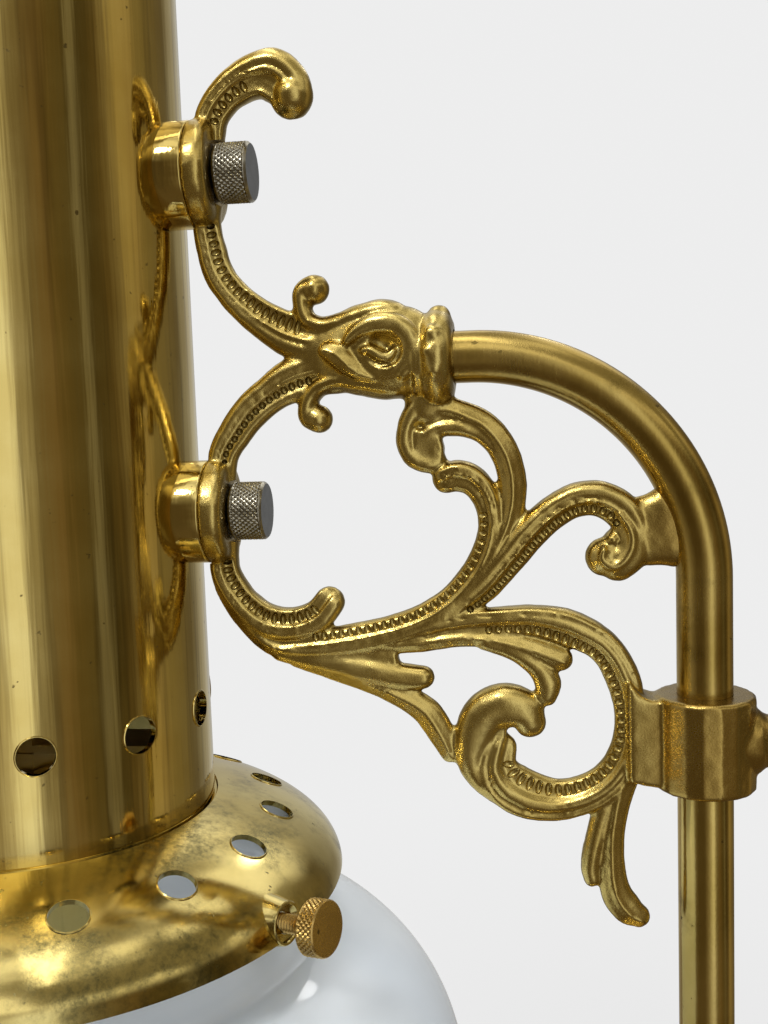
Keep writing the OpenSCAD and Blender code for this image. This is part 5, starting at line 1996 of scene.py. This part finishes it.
@dataclass
class ScrewSet:
    """The three plated thumbscrews and the three brass shade screws.

    Sizes are in millimetres, and places count from the cylinder's axis and lower edge.
    """

    head: LampHead
    thumb_head_r: float = 6.8
    thumb_head_l: float = 8.0
    thumb_shank_r: float = 3.0
    bracket_x: float = 54.35
    bracket_shank_l: float = 18.1
    clamp_x: float = 180.55
    clamp_z: float = 16.25
    clamp_shank_l: float = 12.8
    shade_gap: float = 6.8
    shade_head_r: float = 6.0
    shade_head_l: float = 4.4
    shade_shank_r: float = 2.1
    shade_shank_l: float = 14.7

    def thumbscrews(self, material: bpy.types.Material) -> None:
        """The screws in the bracket's two ears and the clamp screw in the collar's stub.

        Args:
            material: The screws' finish.
        """
        upper, lower = (head_place(self.bracket_x, z) for z in self.head.boss_zs)
        clamp = head_place(self.clamp_x, self.clamp_z)
        screws = (
            ("upper_thumbscrew", "upper_bracket_screw", Body.UPPER_SCREW, upper, self.bracket_shank_l),
            ("lower_thumbscrew", "lower_bracket_screw", Body.LOWER_SCREW, lower, self.bracket_shank_l),
            ("clamp_thumbscrew", "clamp_screw", Body.CLAMP, clamp, self.clamp_shank_l),
        )
        for name, node, body, place, length in screws:
            KnurledScrew(
                name, node, body, Slot.NICKEL_STEEL, place, RIGHT,
                self.thumb_head_r, self.thumb_head_l, self.thumb_shank_r, length,
            ).build(material)

    def shade_screws(self, material: bpy.types.Material) -> None:
        """The screws round the holder, which point at the glass's neck.

        Args:
            material: The screws' finish.
        """
        bodies = (Body.FIRST_SHADE_SCREW, Body.SECOND_SHADE_SCREW, Body.THIRD_SHADE_SCREW)
        for k, body in enumerate(bodies):
            way = self.head.screw_way(k)
            place = self.head.screw_place(k) + way * self.shade_gap * MM
            KnurledScrew(
                f"shade_thumbscrew_{k + 1}", f"shade_screw_{k + 1}", body, Slot.TARNISHED_BRASS, place, way,
                self.shade_head_r, self.shade_head_l, self.shade_shank_r, self.shade_shank_l,
                bevel=0.45, starts=34, pitch=1.25, knurl_depth=0.32, thread_pitch=0.75,
            ).build(material)


# Studio


@dataclass
class Studio:
    """Pale floor, soft lights, and the camera of the photograph.

    Places are in metres, turns in degrees, and the focal length and the picture's height in pixels.
    """

    eye: Vector = Vector((-0.03662, -0.25852, 0.42575))
    yaw: float = -7.69
    pitch: float = 5.74
    roll: float = -1.94
    focal_px: float = 1140.18
    frame_px: float = 1024.0
    pale: float = 0.85
    even: float = 0.30
    strip_turn: float = -65.0
    table: Colour = (0.115, 0.085, 0.048)
    ceiling: Colour = (1.16, 1.13, 1.06)
    beams: Colour = (0.30, 0.27, 0.20)
    walls: tuple[tuple[float, Colour], ...] = (
        (-180.0, (0.54, 0.54, 0.53)), (-152.0, (0.40, 0.38, 0.34)), (-128.0, (0.24, 0.21, 0.16)),
        (-104.0, (0.50, 0.47, 0.42)), (-78.0, (0.56, 0.53, 0.49)), (-59.0, (0.25, 0.22, 0.17)),
        (-42.0, (0.10, 0.075, 0.04)), (-12.0, (0.10, 0.075, 0.04)), (4.0, (0.28, 0.24, 0.18)),
        (13.0, (0.62, 0.60, 0.56)), (20.0, (0.95, 0.97, 1.0)), (28.0, (0.95, 0.97, 1.0)),
        (34.0, (0.40, 0.37, 0.31)), (40.0, (0.20, 0.17, 0.12)), (52.0, (0.18, 0.13, 0.07)),
        (60.0, (0.12, 0.09, 0.04)), (71.0, (0.10, 0.08, 0.04)), (75.0, (0.22, 0.20, 0.16)),
        (80.0, (0.07, 0.055, 0.025)), (90.0, (0.11, 0.08, 0.035)), (98.0, (0.21, 0.17, 0.10)),
        (105.0, (0.37, 0.30, 0.16)), (113.0, (0.33, 0.26, 0.14)), (122.0, (0.20, 0.16, 0.08)),
        (150.0, (0.13, 0.11, 0.08)), (166.0, (0.36, 0.35, 0.33)), (180.0, (0.54, 0.54, 0.53)),
    )

    def camera(self) -> None:
        """The camera at the photograph's place, turn and angle of view."""
        yaw, pitch, roll = (math.radians(v) for v in (self.yaw, self.pitch, self.roll))
        ahead = Vector((math.sin(yaw) * math.cos(pitch), math.cos(yaw) * math.cos(pitch), -math.sin(pitch)))
        right = Vector((math.cos(yaw), -math.sin(yaw), 0.0))
        up = right.cross(ahead)
        turned_right = right * math.cos(roll) + up * math.sin(roll)
        turned_up = up * math.cos(roll) - right * math.sin(roll)
        data = bpy.data.cameras.new("photo_camera")
        data.sensor_width = 36.0
        data.lens = self.focal_px / self.frame_px * data.sensor_width
        data.clip_start = 0.01
        camera = bpy.data.objects.new("photo_camera", data)
        turn = Matrix((turned_right, turned_up, -ahead)).transposed().to_4x4()
        camera.matrix_world = Matrix.Translation(self.eye) @ turn
        bpy.context.scene.collection.objects.link(camera)
        bpy.context.scene.camera = camera

    def floor(self) -> None:
        """A pale floor that keeps a soft shadow near the lamp and fades into the background."""
        deselect()
        bpy.ops.mesh.primitive_plane_add(size=8.0, location=(0.0, 0.0, -0.0005))
        floor = named("studio_floor")
        g = Graph.material("pale_floor")
        seen = g.node("ShaderNodeLightPath", output="Is Camera Ray")
        glossy = g.node("ShaderNodeLightPath", output="Is Glossy Ray")
        away = g.node("ShaderNodeVectorMath", {"operation": "LENGTH"}, {0: g.place()}, output="Value")
        far = away.step(0.25, 0.9)
        lit = g.node("ShaderNodeBsdfDiffuse", None, {"Color": (0.80, 0.80, 0.80)})
        glow = g.node("ShaderNodeEmission", None, {"Color": (self.pale,) * 3, "Strength": 1.0})
        both = g.node("ShaderNodeMixShader", None, {0: seen * (0.8 + 0.2 * far), 1: lit, 2: glow})
        clear = g.node("ShaderNodeBsdfTransparent")
        surface = g.node("ShaderNodeMixShader", None, {0: glossy, 1: both, 2: clear})
        g.node("ShaderNodeOutputMaterial", None, {"Surface": surface})
        floor.data.materials.append(g.owner)

    def lights(self) -> None:
        """Soft boxes round the lamp: metal reflects only the small box, the strip and the back window."""
        boxes = (
            ("key_box", (-0.75, -0.95, 1.15), 0.55, 0.8, 7.0, False),
            ("fill_box", (0.95, -0.75, 0.75), 0.35, 0.9, 3.0, False),
            ("top_box", (0.1, 0.25, 1.55), 0.9, 0.7, 5.0, False),
            ("back_box", (0.6, 0.9, 0.9), 0.5, 0.9, 3.0, False),
            ("small_box", (-0.35, -0.60, 1.10), 0.16, 0.16, 1.7, True),
            ("strip", (-0.16, 0.02, 1.40), 1.30, 0.16, 1.2, True),
            ("back_window", (0.14, 0.79, 1.00), 0.12, 0.10, 0.14, True),
        )
        target = Vector((-0.08, 0.0, 0.40))
        for name, place, width, height, power, shiny in boxes:
            data = bpy.data.lights.new(name, "AREA")
            data.shape = "ELLIPSE" if shiny else "RECTANGLE"
            data.size, data.size_y, data.energy = width, height, power
            lamp = bpy.data.objects.new(name, data)
            lamp.location = place
            lamp.rotation_mode = "QUATERNION"
            lamp.rotation_quaternion = (target - Vector(place)).to_track_quat("-Z", "Y")
            if name == "strip":
                turn = Matrix.Rotation(math.radians(self.strip_turn), 3, "Z")
                lamp.rotation_quaternion = turn.to_quaternion()
            lamp.visible_glossy = shiny
            bpy.context.scene.collection.objects.link(lamp)

    def room(self, g: Graph) -> Socket:
        """The room that metal and glass reflect: bright and dark walls round the lamp and a bright ceiling.

        Args:
            g: The world's graph.

        Returns:
            The room's colour in each direction.
        """
        way = g.node("ShaderNodeTexCoord", output="Generated")
        x, y, z = (g.node("ShaderNodeSeparateXYZ", None, {0: way}, output=k) for k in range(3))
        wobble = g.node("ShaderNodeTexNoise", None, {"Vector": way, "Scale": 2.6, "Detail": 3.0})
        round_way = g.node("ShaderNodeMath", {"operation": "ARCTAN2"}, {0: x, 1: y * -1.0})
        share = round_way / (2 * math.pi) + 0.5 + (wobble - 0.5) * 0.05
        walls = g.ramp(share, [((degrees + 180.0) / 360.0, colour) for degrees, colour in self.walls])
        clouds = g.node("ShaderNodeTexNoise", None, {"Vector": way, "Scale": 2.1, "Detail": 2.0})
        ceiling = g.mix(clouds.step(0.42, 0.60), self.beams, self.ceiling)
        lifted = g.mix(z.step(0.30, 0.62), walls, ceiling)
        return g.mix((z * -1.0).step(0.32, 0.72), lifted, self.table)

    def world(self) -> None:
        """A pale background for the camera, the room for reflections and an even light for the rest."""
        g = Graph(bpy.data.worlds.new("studio_world"))
        seen = g.node("ShaderNodeLightPath", output="Is Camera Ray")
        through = g.node("ShaderNodeLightPath", output="Is Transmission Ray")
        glossy = g.node("ShaderNodeLightPath", output="Is Glossy Ray")
        colour = g.mix(glossy, (self.even,) * 3, self.room(g))
        colour = g.mix(through, colour, (self.pale,) * 3)
        colour = g.mix(seen, colour, (self.pale,) * 3)
        sky = g.node("ShaderNodeBackground", None, {"Color": colour, "Strength": 1.0})
        g.node("ShaderNodeOutputWorld", None, {"Surface": sky})
        bpy.context.scene.world = g.owner

    def build(self) -> None:
        """Set up the camera, floor, lights and world."""
        bpy.context.scene.view_settings.view_transform = "Standard"
        self.camera()
        self.floor()
        self.lights()
        self.world()


# Assembly


def dress_solids(finishes: dict[Slot, bpy.types.Material]) -> None:
    """Give each solid that stays its own finish.

    Args:
        finishes: The material of each record slot.
    """
    slots = {part["node"]: part["material_slot"] for part in frame["record"]["subparts"]}
    for node, obj in frame["nodes"].items():
        obj.data.materials.clear()
        obj.data.materials.append(finishes[Slot(slots[node])])


def main() -> None:
    """Build every piece in order."""
    logging.basicConfig(level=logging.INFO, format="%(message)s")
    finishes = {Slot(finish.name): finish.material() for finish in FINISHES}
    drawn, spun, aged, turned = (finish.material() for finish in (DRAWN, SPUN, AGED, TURNED))
    dress_solids(finishes)
    Studio().build()

    head = LampHead()
    head.cylinder(finishes[Slot.POLISHED_BRASS])
    head.cap(spun)
    head.finial(spun)
    head.bosses(finishes[Slot.POLISHED_BRASS])
    head.holder(finishes[Slot.TARNISHED_BRASS])
    head.shade(finishes[Slot.OPAL_GLASS])

    ScrollBracket().build(finishes[Slot.CAST_BRASS])
    stand = Stand()
    stand.arm(aged)
    stand.post(drawn)
    stand.foot(spun)
    stand.ferrule(spun)

    screws = ScrewSet(head)
    screws.thumbscrews(finishes[Slot.NICKEL_STEEL])
    screws.shade_screws(turned)


if __name__ == "__main__":
    main()
